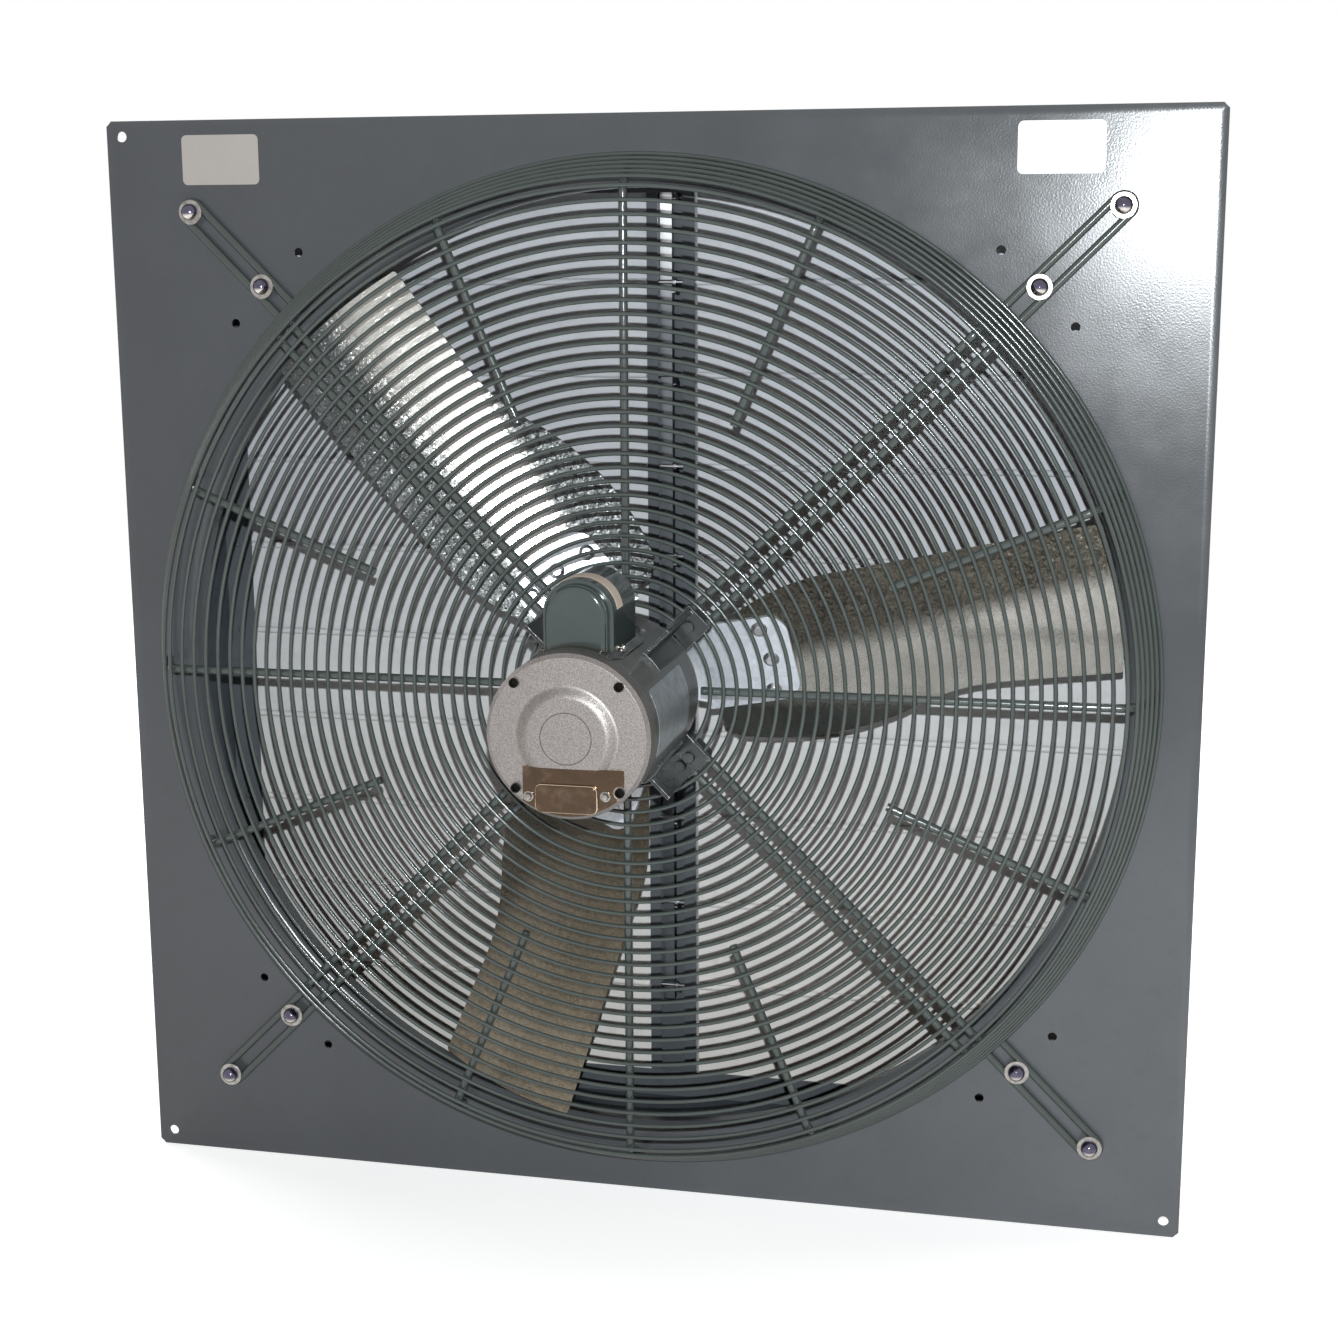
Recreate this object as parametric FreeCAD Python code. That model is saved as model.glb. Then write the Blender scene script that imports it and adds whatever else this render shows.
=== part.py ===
import FreeCAD, Part
import math
import os

# Wall exhaust fan: a square panel with a round throat, a wire guard that carries the motor,
# a three-blade propeller, and a wall sleeve closed by a gravity shutter.
# Millimetres. X runs across, Z is up, and air leaves along +Y.
# The origin is the panel's centre on its mounting face.

# Square panel and its throat.
panel_half = 529.0
panel_sheet = 2.0
rim_width = 8.5
rim_rise = 2.0
corner_cut = 5.0
wall_hole_offset = 514.35
wall_hole_radius = 5.0
throat_radius = 462.0
lip_radius = 10.0
collar_end = 22.0

# Wire guard: concentric rings welded to bent rods.
rod_radius = 3.97
rod_plane = -55.4
ring_wire = 4.0
weld_sink = 0.15
first_ring = 81.6
ring_pitch = 12.7
ring_count = 31
side_ring_count = 6
side_ring_top = (470.8, -56.0)
side_ring_low = (491.82, -15.0)
long_spoke_inner = 72.0
short_spoke_inner = 268.0
spoke_end_y = -8.0
leg_spread = 9.4
leg_inner = 76.0
leg_loop_distance = 625.3
leg_bolt_distance = 525.0
bend_radius = 14.0
foot_bend_radius = 7.0

# Guard fasteners and the spare holes beside each leg.
bolt_radius = 4.0
bolt_hole_radius = 4.35
washer_radius = 11.8
washer_thickness = 2.0
dome_radius = 8.2
nut_across = 13.0
nut_height = 6.5
spare_hole_angle = 5.25

# Motor, its axis along Y.
shell_radius = 72.5
shell_wall = 2.0
shell_rear = -247.0
shell_drive = -84.0
bell_rear_face = -267.0
bell_drive_face = -64.0
boss_face = -272.5
plate_top = -26.2
through_bolt_circle = 65.0
through_bolt_radius = 2.5
through_bolt_head = 4.2
shaft_radius = 7.94
running_clearance = 0.05
bearing_radius = 17.5
core_rear = -205.0
core_drive = -130.0
rotor_radius = 37.4
stator_bore = 38.0
bracket_sheet = 3.0
bracket_top = 100.0
bracket_rear = -167.0
bracket_wall = 6.0
foot_half = 14.0
flange_rear = -182.0
flange_drive = -86.0
flange_reach = 13.0
clamp_bolt_distance = 87.95

# Capacitor housing on top of the shell.
cover_half_width = 31.5
cover_sheet = 1.5
cover_axis_z = 98.5
nose_half_width = 28.0
cover_front = -237.0
cover_step = -228.0
cover_back = -148.0
strap_front = -215.0
strap_back = -195.0
strap_sheet = 0.8
capacitor_radius = 25.0

# Propeller: three twisted sheet blades riveted to a stamped spider.
blade_count = 3
blade_angle = 12.0
blade_tip_radius = 457.2
blade_sheet = 2.0
blade_face_y = 3.0
root_pitch = 20.0
tip_pitch = 13.0
spider_sheet = 4.0
lobe_lag = 2.0
lobe_half_width = 46.0
lobe_end = 152.0
rivet_radius = 4.0
rivet_head = 8.0

# Wall sleeve and shutter frame.
sleeve_half = 488.5
sleeve_sheet = 1.5
sleeve_depth = 186.0
sleeve_flange = 12.0
frame_face_y = 139.0
frame_opening = 460.0
frame_depth = 45.0
mullion_half = 24.5
mullion_depth = 37.5
mullion_left_lip = 11.5
mullion_right_lip = 12.5

# Shutter rows: each hangs on a rod and laps over the row below.
row_count = 10
row_pitch = 92.2
first_pivot_z = 465.2
pivot_y = 144.5
pivot_radius = 2.0
hem_radius = 3.3
blade_gap = 1.5
crank_length = 17.0
crank_angle = -37.5
crank_sheet = 3.0
crank_x = 2.0
crank_pin_radius = 1.5
tie_left = -13.0
tie_right = -1.0
tie_sheet = 1.5

os.makedirs("parts", exist_ok=True)

origin = FreeCAD.Vector(0, 0, 0)
along_x = FreeCAD.Vector(1, 0, 0)
along_y = FreeCAD.Vector(0, 1, 0)
panel_front = -panel_sheet
quarter_angles = (45.0, 135.0, 225.0, 315.0)


def save(node, *solids):
    shape = solids[0] if len(solids) == 1 else Part.makeCompound(list(solids))
    shape.exportStep("parts/" + node + ".step")


def block(x0, x1, y0, y1, z0, z1):
    return Part.makeBox(x1 - x0, y1 - y0, z1 - z0, FreeCAD.Vector(x0, y0, z0))


def drum(radius, y0, y1, x=0.0, z=0.0):
    return Part.makeCylinder(radius, y1 - y0, FreeCAD.Vector(x, y0, z), along_y)


def turned(profile):
    """Solid of revolution about Y from (radius, y) corners."""
    corners = [FreeCAD.Vector(radius, y, 0) for radius, y in profile]
    face = Part.Face(Part.makePolygon(corners + corners[:1]))
    return face.revolve(origin, along_y, 360)


def around_y(shape, angle):
    """Copy turned about Y, counter-clockwise as seen from the motor."""
    copy = shape.copy()
    copy.rotate(origin, along_y, -angle)
    return copy


def polar(distance, angle):
    turn = math.radians(angle)
    return distance * math.cos(turn), distance * math.sin(turn)


def prism(corners, y0, y1):
    """Straight prism along Y from (x, z) corners."""
    points = [FreeCAD.Vector(x, y0, z) for x, z in corners]
    face = Part.Face(Part.makePolygon(points + points[:1]))
    return face.extrude(FreeCAD.Vector(0, y1 - y0, 0))


def fused(first, *others):
    return first.fuse(list(others)).removeSplitter()


def folded(section, direction, start, end):
    """Sheet section of (y, offset) corners run along X or Z."""
    if direction == "x":
        points = [FreeCAD.Vector(start, y, offset) for y, offset in section]
        run = FreeCAD.Vector(end - start, 0, 0)
    else:
        points = [FreeCAD.Vector(offset, y, start) for y, offset in section]
        run = FreeCAD.Vector(0, 0, end - start)
    return Part.Face(Part.makePolygon(points + points[:1])).extrude(run)


def mirrored(shape, normal):
    return shape.mirror(origin, normal)


# The panel is a flat sheet with a shallow raised rim and a throat drawn into a rolled lip and collar.
def square(half, y):
    corners = [(-half, -half), (half, -half), (half, half), (-half, half)]
    points = [FreeCAD.Vector(x, y, z) for x, z in corners]
    return Part.makePolygon(points + points[:1])


flat_half = panel_half - rim_width
rim_front = panel_front - rim_rise
outer_skin = Part.makeLoft([square(flat_half, 0), square(panel_half, -rim_rise)], True, True)
outer_band = Part.Face(square(panel_half, -rim_rise)).extrude(FreeCAD.Vector(0, -panel_sheet, 0))
inner_skin = Part.makeLoft([square(flat_half, panel_front), square(panel_half, rim_front)], True, True)
panel = outer_skin.fuse(outer_band).cut(inner_skin)
corner_tip = panel_half - corner_cut
corner_knife = prism([(corner_tip, panel_half), (panel_half, corner_tip), (panel_half, panel_half)], -9, 9)
for angle in (0, 90, 180, 270):
    panel = panel.cut(around_y(corner_knife, angle))

lip_outer = throat_radius + lip_radius + panel_sheet
lip_centre_y = panel_front + lip_radius + panel_sheet
lip_steps = 4


def lip_point(radius, step):
    turn = math.radians(90.0 * step / lip_steps)
    return lip_outer - radius * math.sin(turn), lip_centre_y - radius * math.cos(turn)


front_lip = [lip_point(lip_radius + panel_sheet, step) for step in range(lip_steps + 1)]
back_lip = [lip_point(lip_radius, step) for step in reversed(range(lip_steps + 1))]
collar_rim = [(throat_radius, collar_end), (throat_radius + panel_sheet, collar_end)]
collar = turned(front_lip + collar_rim + back_lip)
panel = panel.cut(drum(lip_outer, -9, 9)).fuse(collar)

panel_holes = []
for angle in quarter_angles:
    wall_x, wall_z = polar(wall_hole_offset * math.sqrt(2), angle)
    panel_holes.append(drum(wall_hole_radius, -9, 9, wall_x, wall_z))
    for distance in (leg_bolt_distance, leg_loop_distance):
        bolt_x, bolt_z = polar(distance, angle)
        panel_holes.append(drum(bolt_hole_radius, -9, 9, bolt_x, bolt_z))
    for side in (-spare_hole_angle, spare_hole_angle):
        spare_x, spare_z = polar(leg_bolt_distance, angle + side)
        panel_holes.append(drum(bolt_hole_radius, -9, 9, spare_x, spare_z))
panel = panel.cut(panel_holes).removeSplitter()
save("fan_panel", panel)


# Guard rings are wire hoops: a flat spiral-free face of evenly pitched rings and a dished side.
def wire_ring(radius, y):
    sides = 16 + 2 * int(radius / 70.0)
    corner = 2.0 / (1.0 + math.cos(math.pi / sides))
    hoops = []
    for edge in (radius + ring_wire / 2, radius - ring_wire / 2):
        corners = [polar(edge * corner, 360.0 * k / sides) for k in range(sides)]
        hoops.append(prism(corners, y - ring_wire / 2, y + ring_wire / 2))
    return hoops[0].cut(hoops[1])


ring_plane = rod_plane - rod_radius - ring_wire / 2 + weld_sink
front_rings = [wire_ring(first_ring + ring_pitch * k, ring_plane) for k in range(ring_count)]
save("guard_front_rings", *front_rings)

slope_run = side_ring_low[0] - side_ring_top[0]
slope_drop = side_ring_low[1] - side_ring_top[1]
slope_length = math.hypot(slope_run, slope_drop)
along_slope = (slope_run / slope_length * ring_wire / 2, slope_drop / slope_length * ring_wire / 2)
side_rings = []
for k in range(side_ring_count):
    share = k / (side_ring_count - 1)
    ring_radius = side_ring_top[0] + share * slope_run
    ring_y = side_ring_top[1] + share * slope_drop
    section = []
    for down, out in ((-1, -1), (1, -1), (1, 1), (-1, 1)):
        corner_radius = ring_radius + down * along_slope[0] + out * along_slope[1]
        corner_y = ring_y + down * along_slope[1] - out * along_slope[0]
        section.append((corner_radius, corner_y))
    side_rings.append(turned(section))
save("guard_side_rings", *side_rings)


# Every rod runs out across the face, bends at the rim and goes down inside the side rings.
def round_bar(points, radii):
    """Round bar of straight runs joined by tangent bends, one radius for each inner corner."""
    pieces = []
    start = points[0]
    for before, corner, after, radius in zip(points, points[1:], points[2:], radii):
        back = (before - corner).normalize()
        ahead = (after - corner).normalize()
        half = back.getAngle(ahead) / 2
        reach = radius / math.tan(half)
        leave = corner + back * reach
        centre = corner + (back + ahead).normalize() * (radius / math.sin(half))
        if start.distanceToPoint(leave) > 0.01:
            pieces.append(Part.makeCylinder(rod_radius, start.distanceToPoint(leave), start, back * -1))
        section = Part.Face(Part.Wire(Part.makeCircle(rod_radius, leave, back * -1)))
        bend_axis = (back * -1).cross(ahead)
        pieces.append(section.revolve(centre, bend_axis, 180 - math.degrees(2 * half)))
        start = corner + ahead * reach
    last = points[-1]
    heading = (last - start).normalize()
    pieces.append(Part.makeCylinder(rod_radius, start.distanceToPoint(last), start, heading))
    return fused(*pieces)


rod_inset = rod_radius + ring_wire / 2 - weld_sink
inset_radius = side_ring_top[0] - rod_inset * slope_drop / slope_length
inset_y = side_ring_top[1] + rod_inset * slope_run / slope_length


def side_radius(y):
    """Distance of a rod's centre from the axis at depth y on the dished side."""
    return inset_radius + (y - inset_y) * slope_run / slope_drop


rim_radius = side_radius(rod_plane)


def spoke(inner):
    points = [
        FreeCAD.Vector(inner, rod_plane, 0),
        FreeCAD.Vector(rim_radius, rod_plane, 0),
        FreeCAD.Vector(side_radius(spoke_end_y), spoke_end_y, 0),
    ]
    return round_bar(points, [bend_radius])


long_spoke = spoke(long_spoke_inner)
short_spoke = spoke(short_spoke_inner)
save("guard_long_spokes", *[around_y(long_spoke, angle) for angle in (0, 90, 180, 270)])
save("guard_short_spokes", *[around_y(short_spoke, 22.5 + 45 * k) for k in range(8)])

# Each guard leg is one rod bent double: two face rods, two sides and a loop flat on the panel.
leg_y = panel_front - rod_radius
loop_end = leg_loop_distance + leg_spread
leg_half = [
    FreeCAD.Vector(leg_inner, rod_plane, leg_spread),
    FreeCAD.Vector(rim_radius, rod_plane, leg_spread),
    FreeCAD.Vector(side_radius(leg_y), leg_y, leg_spread),
    FreeCAD.Vector(loop_end, leg_y, leg_spread),
]
other_half = [FreeCAD.Vector(point.x, point.y, -point.z) for point in reversed(leg_half)]
leg_bends = [bend_radius, foot_bend_radius, leg_spread, leg_spread, foot_bend_radius, bend_radius]
guard_leg = round_bar(leg_half + other_half, leg_bends)
save("guard_legs", *[around_y(guard_leg, angle) for angle in quarter_angles])

# Dome-head bolts with wide washers hold the legs to the panel.
washer_y = leg_y - rod_radius
head_y = washer_y - washer_thickness
washers = []
bolts = []
bolt_end = nut_height + 3.0
nut_corner = nut_across / math.sqrt(3)
nut_corners = [polar(nut_corner, 60.0 * k) for k in range(6)]
nut = prism(nut_corners, 0, nut_height).cut(drum(bolt_radius, -1, nut_height + 1))
dome = turned([
    (0, head_y - 8.0),
    (5.6, head_y - 6.2),
    (dome_radius, head_y - 2.4),
    (dome_radius, head_y),
    (0, head_y),
])
bolt = fused(dome, drum(bolt_radius, head_y, bolt_end))
washer = drum(washer_radius, head_y, washer_y).cut(drum(bolt_radius, head_y - 1, washer_y + 1))
for angle in quarter_angles:
    for distance in (leg_bolt_distance, leg_loop_distance):
        place_x, place_z = polar(distance, angle)
        place = FreeCAD.Vector(place_x, 0, place_z)
        washers.append(washer.translated(place))
        bolts.append(bolt.translated(place))
        bolts.append(nut.translated(place))
save("guard_washers", *washers)
save("guard_bolts", *bolts)

# Motor: rolled shell between two cast bells, with a dished rear face.
shell_bore = shell_radius - shell_wall
shell = turned([
    (shell_bore, shell_rear),
    (shell_radius, shell_rear),
    (shell_radius, shell_drive),
    (shell_bore, shell_drive),
])
save("motor_shell", shell)

bolt_bores = []
for angle in quarter_angles:
    bolt_x, bolt_z = polar(through_bolt_circle, angle)
    bolt_bores.append(drum(through_bolt_radius, bell_rear_face - 9, bell_drive_face - 7, bolt_x, bolt_z))
spigot = 6.0
bell_inner = shell_bore - 2.7
rear_seat = shell_rear + spigot
bearing_rear = bell_rear_face + 13.0
boss_radius = 26.0
shaft_relief = 9.0
rear_bell = turned([
    (0, boss_face),
    (34, boss_face),
    (37.5, boss_face + 0.8),
    (43, bell_rear_face - 1.2),
    (45.5, bell_rear_face),
    (69, bell_rear_face),
    (shell_radius, bell_rear_face + 3.5),
    (shell_radius, shell_rear),
    (shell_bore, shell_rear),
    (shell_bore, rear_seat),
    (bell_inner, rear_seat),
    (bell_inner, bell_rear_face + 9.0),
    (boss_radius, bell_rear_face + 9.0),
    (boss_radius, rear_seat),
    (bearing_radius, rear_seat),
    (bearing_radius, bearing_rear),
    (shaft_relief, bearing_rear),
    (shaft_relief, bell_rear_face + 7.0),
    (0, bell_rear_face + 7.0),
])
plate_seat = block(-60, 60, boss_face - 1, bell_rear_face, -shell_radius, plate_top)
save("motor_rear_bell", rear_bell.cut(bolt_bores + [plate_seat]))

drive_seat = shell_drive - spigot
bearing_drive = bell_drive_face - 12.0
drive_bell = turned([
    (shaft_relief, bell_drive_face),
    (boss_radius, bell_drive_face),
    (boss_radius + 2, bell_drive_face - 2.0),
    (60, bell_drive_face - 2.0),
    (69, bell_drive_face - 3.0),
    (shell_radius, bell_drive_face - 7.0),
    (shell_radius, shell_drive),
    (shell_bore, shell_drive),
    (shell_bore, drive_seat),
    (bell_inner, drive_seat),
    (bell_inner, bell_drive_face - 12.0),
    (boss_radius, bell_drive_face - 12.0),
    (boss_radius, drive_seat),
    (bearing_radius, drive_seat),
    (bearing_radius, bearing_drive),
    (shaft_relief, bearing_drive),
])
save("motor_drive_bell", drive_bell.cut(bolt_bores))

through_bolts = []
for angle in quarter_angles:
    bolt_x, bolt_z = polar(through_bolt_circle, angle)
    stem = drum(through_bolt_radius, bell_rear_face, bell_drive_face - 7, bolt_x, bolt_z)
    head = drum(through_bolt_head, bell_rear_face - 3.5, bell_rear_face, bolt_x, bolt_z)
    through_bolts.append(fused(stem, head))
save("motor_through_bolts", *through_bolts)

# Laminated stator with end turns, bearings in the bells, and the squirrel-cage rotor on the shaft.
stator = drum(shell_bore, core_rear, core_drive).cut(drum(stator_bore, core_rear, core_drive))
save("stator_core", stator.cut(bolt_bores))
end_turn_inner = 42.0
end_turn_outer = 60.0
end_turn_length = 20.0
windings = []
for start, end in ((core_rear - end_turn_length, core_rear), (core_drive, core_drive + end_turn_length)):
    windings.append(drum(end_turn_outer, start, end).cut(drum(end_turn_inner, start, end)))
save("stator_windings", *windings)

bearing_width = 12.0
bearing_bore = shaft_radius + running_clearance
bearings = []
for start in (bearing_rear, bearing_drive - bearing_width):
    end = start + bearing_width
    bearings.append(drum(bearing_radius, start, end).cut(drum(bearing_bore, start, end)))
save("motor_bearings", *bearings)

shaft_rear = bell_rear_face + 11.0
shaft_end = blade_face_y + 2.0
save("motor_shaft", drum(shaft_radius, shaft_rear, shaft_end))
rotor = drum(rotor_radius, core_rear, core_drive).cut(drum(shaft_radius, core_rear, core_drive))
save("rotor_core", rotor)

# The terminal cover is a small pressed plate on the lower half of the rear bell.
plate_sheet = 1.5
plate_left = -39.5
plate_right = 50.0
plate_ear = -42.0
plate_low = -72.0
plate_back = bell_rear_face
plate_front = plate_back - plate_sheet
plate = block(plate_left, plate_right, plate_front, plate_back, plate_low, plate_top)
plate = plate.common(drum(69.0, plate_front, plate_back))
bolt_x, bolt_z = polar(through_bolt_circle, -45)
plate = plate.cut([
    drum(through_bolt_head + 1.6, plate_front - 1, plate_back + 1, bolt_x, bolt_z),
    block(bolt_x - 2.5, plate_right + 1, plate_front - 1, plate_back + 1, plate_low - 1, plate_ear),
])
raised = block(-28.5, 27, plate_front - 3.0, plate_front, -66.0, -40.5)
raised = raised.makeFillet(6.0, [edge for edge in raised.Edges if abs(edge.tangentAt(0).y) > 0.9])
front_edges = [edge for edge in raised.Edges if edge.BoundBox.YMax < plate_front - 2.9]
raised = raised.makeFillet(1.8, front_edges).common(drum(69.0, plate_front - 4, plate_back))
save("terminal_cover", fused(plate, raised))


# A capacitor lies along the top of the shell under a stepped, arched cover with a pale strap round it.
def arch(half_width, y0, y1, foot):
    """Half-round arch on straight walls, standing on the level foot."""
    walls = block(-half_width, half_width, y0, y1, foot, cover_axis_z)
    return fused(walls, drum(half_width, y0, y1, 0, cover_axis_z))


def eased_arch(half_width, y0, y1, foot, radius):
    """Arch whose front edge is rounded over."""
    form = arch(half_width, y0, y1, foot)
    front_edges = []
    for edge in form.Edges:
        if edge.BoundBox.YMax < y0 + 0.1 and edge.BoundBox.ZMax > foot + 10:
            front_edges.append(edge)
    return form.makeFillet(radius, front_edges)


saddle_radius = shell_radius + cover_sheet
saddle_right = [(34, shell_rear), (39, -225), (39, -150), (32, -112)]
saddle_left = [(-x, y) for x, y in reversed(saddle_right)]
saddle_plan = [FreeCAD.Vector(x, y, 40) for x, y in saddle_right + saddle_left]
saddle = Part.Face(Part.makePolygon(saddle_plan + saddle_plan[:1])).extrude(FreeCAD.Vector(0, 0, 60))
saddle = saddle.common(drum(saddle_radius, shell_rear, -100)).cut(drum(shell_radius, shell_rear - 1, -99))
shell_cut = drum(saddle_radius - 0.5, cover_front - 5, cover_back + 5)
cover_foot = 58.0
nose = eased_arch(nose_half_width, cover_front, cover_step + 3, cover_foot, 6.0)
hood = eased_arch(cover_half_width, cover_step, cover_back, cover_foot, 2.5)
nose_bore = arch(nose_half_width - cover_sheet, cover_front + cover_sheet, cover_step + 3, cover_foot - 1)
hood_bore = arch(cover_half_width - cover_sheet, cover_step + cover_sheet, cover_back + 1, cover_foot - 1)
cover = fused(nose, hood).cut([nose_bore, hood_bore, shell_cut])
save("capacitor_cover", fused(saddle, cover))

strap = drum(cover_half_width + strap_sheet, strap_front, strap_back, 0, cover_axis_z)
strap_bore = drum(cover_half_width + running_clearance, strap_front, strap_back, 0, cover_axis_z)
strap_lower = block(-50, 50, strap_front, strap_back, 0, cover_axis_z + 4)
save("capacitor_strap", strap.cut([strap_bore, strap_lower]))

can_axis_z = saddle_radius + capacitor_radius
can = drum(capacitor_radius, cover_step + 4, cover_back - 6, 0, can_axis_z)
save("start_capacitor", can)

# Four angle brackets stand the motor off the guard.
# Each has a flange on the shell, a radial wall and a foot on the leg rods.
foot_back = ring_plane - ring_wire / 2
foot_front = foot_back - bracket_sheet
foot_end = bracket_top + 2.0
wall_edge = -bracket_wall - bracket_sheet
wall = block(40, bracket_top, bracket_rear, foot_back, wall_edge, -bracket_wall)
flange_band = drum(shell_radius + bracket_sheet, flange_rear, flange_drive)
flange = flange_band.common(block(40, 90, flange_rear, flange_drive, wall_edge, flange_reach))
foot = block(40, foot_end, foot_front, foot_back, -foot_half, foot_half)
clamp_bolt_radius = 3.2
clamp_bore = Part.makeCylinder(clamp_bolt_radius, 60, FreeCAD.Vector(clamp_bolt_distance, -90, 0), along_y)
shell_core = drum(shell_radius, flange_rear - 5, foot_back + 5)
bracket = fused(wall, flange, foot).cut([shell_core, clamp_bore])
other_hand = bracket.mirror(origin, FreeCAD.Vector(0, 0, 1))
brackets = []
for angle in quarter_angles:
    hand = other_hand if angle in (45.0, 225.0) else bracket
    brackets.append(around_y(hand, angle))
save("motor_brackets", *brackets)

pad_front = rod_plane + rod_radius
pad_back = pad_front + bracket_sheet
pad = block(leg_inner - 3, foot_end, pad_front, pad_back, -foot_half - 2, foot_half + 2)
pad = pad.makeFillet(6.0, [edge for edge in pad.Edges if abs(edge.tangentAt(0).y) > 0.9]).cut(clamp_bore)
save("guard_pads", *[around_y(pad, angle) for angle in quarter_angles])

clamp_head = 5.5
clamp_nut = 5.0
clamp_bolt = fused(
    drum(clamp_bolt_radius, foot_front, pad_back + clamp_nut + 2, clamp_bolt_distance),
    drum(clamp_head, foot_front - 4, foot_front, clamp_bolt_distance),
    drum(clamp_head, pad_back, pad_back + clamp_nut, clamp_bolt_distance),
)
save("clamp_bolts", *[around_y(clamp_bolt, angle) for angle in quarter_angles])

# The hub is a flanged boss with a spigot through the spider.
hub_flange_face = blade_face_y - spider_sheet
hub_spigot = 14.0
hub = turned([
    (shaft_radius, hub_flange_face - 35),
    (18, hub_flange_face - 35),
    (20, hub_flange_face - 33),
    (20, hub_flange_face - 7),
    (36, hub_flange_face - 7),
    (36, hub_flange_face),
    (hub_spigot, hub_flange_face),
    (hub_spigot, blade_face_y + 3),
    (shaft_radius, blade_face_y + 3),
])
save("propeller_hub", hub)


# Blade frame: u runs out along the blade, s runs along the direction of turning, Y is depth.
# A section is a shallow arc whose leading side stands nearer the motor.
def section_point(u, pitch, chord, depth):
    turn = math.radians(pitch)
    s = chord * math.cos(turn) + depth * math.sin(turn)
    y = blade_face_y - chord * math.sin(turn) + depth * math.cos(turn)
    return FreeCAD.Vector(u, y, s)


def blade_section(u, pitch, camber):
    tail = -120.0
    nose = 95.0
    steps = 4
    faces = []
    for skin in (0.0, blade_sheet):
        points = []
        for k in range(steps + 1):
            share = k / steps
            bow = 4.0 * share * (1.0 - share) * camber
            points.append(section_point(u, pitch, tail + share * (nose - tail), skin - bow))
        curve = Part.BSplineCurve()
        curve.interpolate(points)
        faces.append((curve.toShape(), points))
    front, back = faces
    nose_edge = Part.LineSegment(front[1][-1], back[1][-1]).toShape()
    tail_edge = Part.LineSegment(back[1][0], front[1][0]).toShape()
    return Part.Wire([front[0], nose_edge, back[0], tail_edge])


twist_start = 160.0
sections = [blade_section(55.0, root_pitch, 0.0), blade_section(twist_start, root_pitch, 0.0)]
for share in (0.33, 0.66, 1.0):
    station = twist_start + share * (blade_tip_radius + 3 - twist_start)
    pitch = root_pitch + share * (tip_pitch - root_pitch)
    sections.append(blade_section(station, pitch, 9.0 * share))
blade_sheet_form = Part.makeLoft(sections, True, True)

lead_edge = 68.0
trail_edge = -76.5
lead_tip = math.sqrt(blade_tip_radius ** 2 - lead_edge ** 2)
trail_tip = math.sqrt(blade_tip_radius ** 2 - trail_edge ** 2)


def plan(u, s):
    return FreeCAD.Vector(u, -100, s)


outline = Part.Wire([
    Part.LineSegment(plan(66, 30), plan(120, 51)).toShape(),
    Part.Arc(plan(120, 51), plan(160, 63.5), plan(215, lead_edge)).toShape(),
    Part.LineSegment(plan(215, lead_edge), plan(lead_tip, lead_edge)).toShape(),
    Part.Arc(plan(lead_tip, lead_edge), plan(blade_tip_radius, 0), plan(trail_tip, trail_edge)).toShape(),
    Part.LineSegment(plan(trail_tip, trail_edge), plan(340, -67)).toShape(),
    Part.Arc(plan(340, -67), plan(285, -70), plan(243, -82)).toShape(),
    Part.Arc(plan(243, -82), plan(180, -92.5), plan(78, -80)).toShape(),
    Part.LineSegment(plan(78, -80), plan(66, -66)).toShape(),
    Part.LineSegment(plan(66, -66), plan(66, 30)).toShape(),
])
outline_form = Part.Face(outline).extrude(FreeCAD.Vector(0, 200, 0))
tip_edges = []
for edge in outline_form.Edges:
    centre = edge.CenterOfMass
    if edge.BoundBox.YLength > 199 and centre.x > 400:
        tip_edges.append(edge)
outline_form = outline_form.makeFillet(3.0, tip_edges)
blade_form = blade_sheet_form.common(outline_form)

# The spider's lobes lie on the flat root of each blade; three rivets clamp each pair.
pitch_axis = along_x


def on_lobe(shape):
    """Tip a piece built on the flat spider plane to the blade's root pitch."""
    copy = shape.copy()
    copy.rotate(FreeCAD.Vector(0, blade_face_y, 0), pitch_axis, root_pitch)
    return copy


lobe_start = 60.0
disc_radius = 34.0
twist_from = 40.0
lobe_corner = 20.0
spider_face_y = blade_face_y - spider_sheet
lobe = block(lobe_start, lobe_end, spider_face_y, blade_face_y, -lobe_half_width, lobe_half_width)
outer_corners = []
for edge in lobe.Edges:
    if abs(edge.tangentAt(0).y) > 0.9 and edge.CenterOfMass.x > lobe_end - 1:
        outer_corners.append(edge)
lobe = lobe.makeFillet(lobe_corner, outer_corners)
lobe.rotate(origin, along_y, lobe_lag)
neck_half = 28.0
neck_inset = 0.2
neck_sections = []
neck_ends = ((twist_from - 4, neck_half - 0.5, 0.0), (lobe_start + 6, lobe_half_width - 3, root_pitch))
for u, half, pitch in neck_ends:
    corners = [
        section_point(u, pitch, -half, neck_inset - spider_sheet),
        section_point(u, pitch, half, neck_inset - spider_sheet),
        section_point(u, pitch, half, -neck_inset),
        section_point(u, pitch, -half, -neck_inset),
    ]
    neck_sections.append(Part.makePolygon(corners + corners[:1]))
neck = Part.makeLoft(neck_sections, True, True)
stub = block(0, twist_from, blade_face_y - spider_sheet, blade_face_y, -neck_half, neck_half)
arm = fused(stub, neck, on_lobe(lobe))

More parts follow.
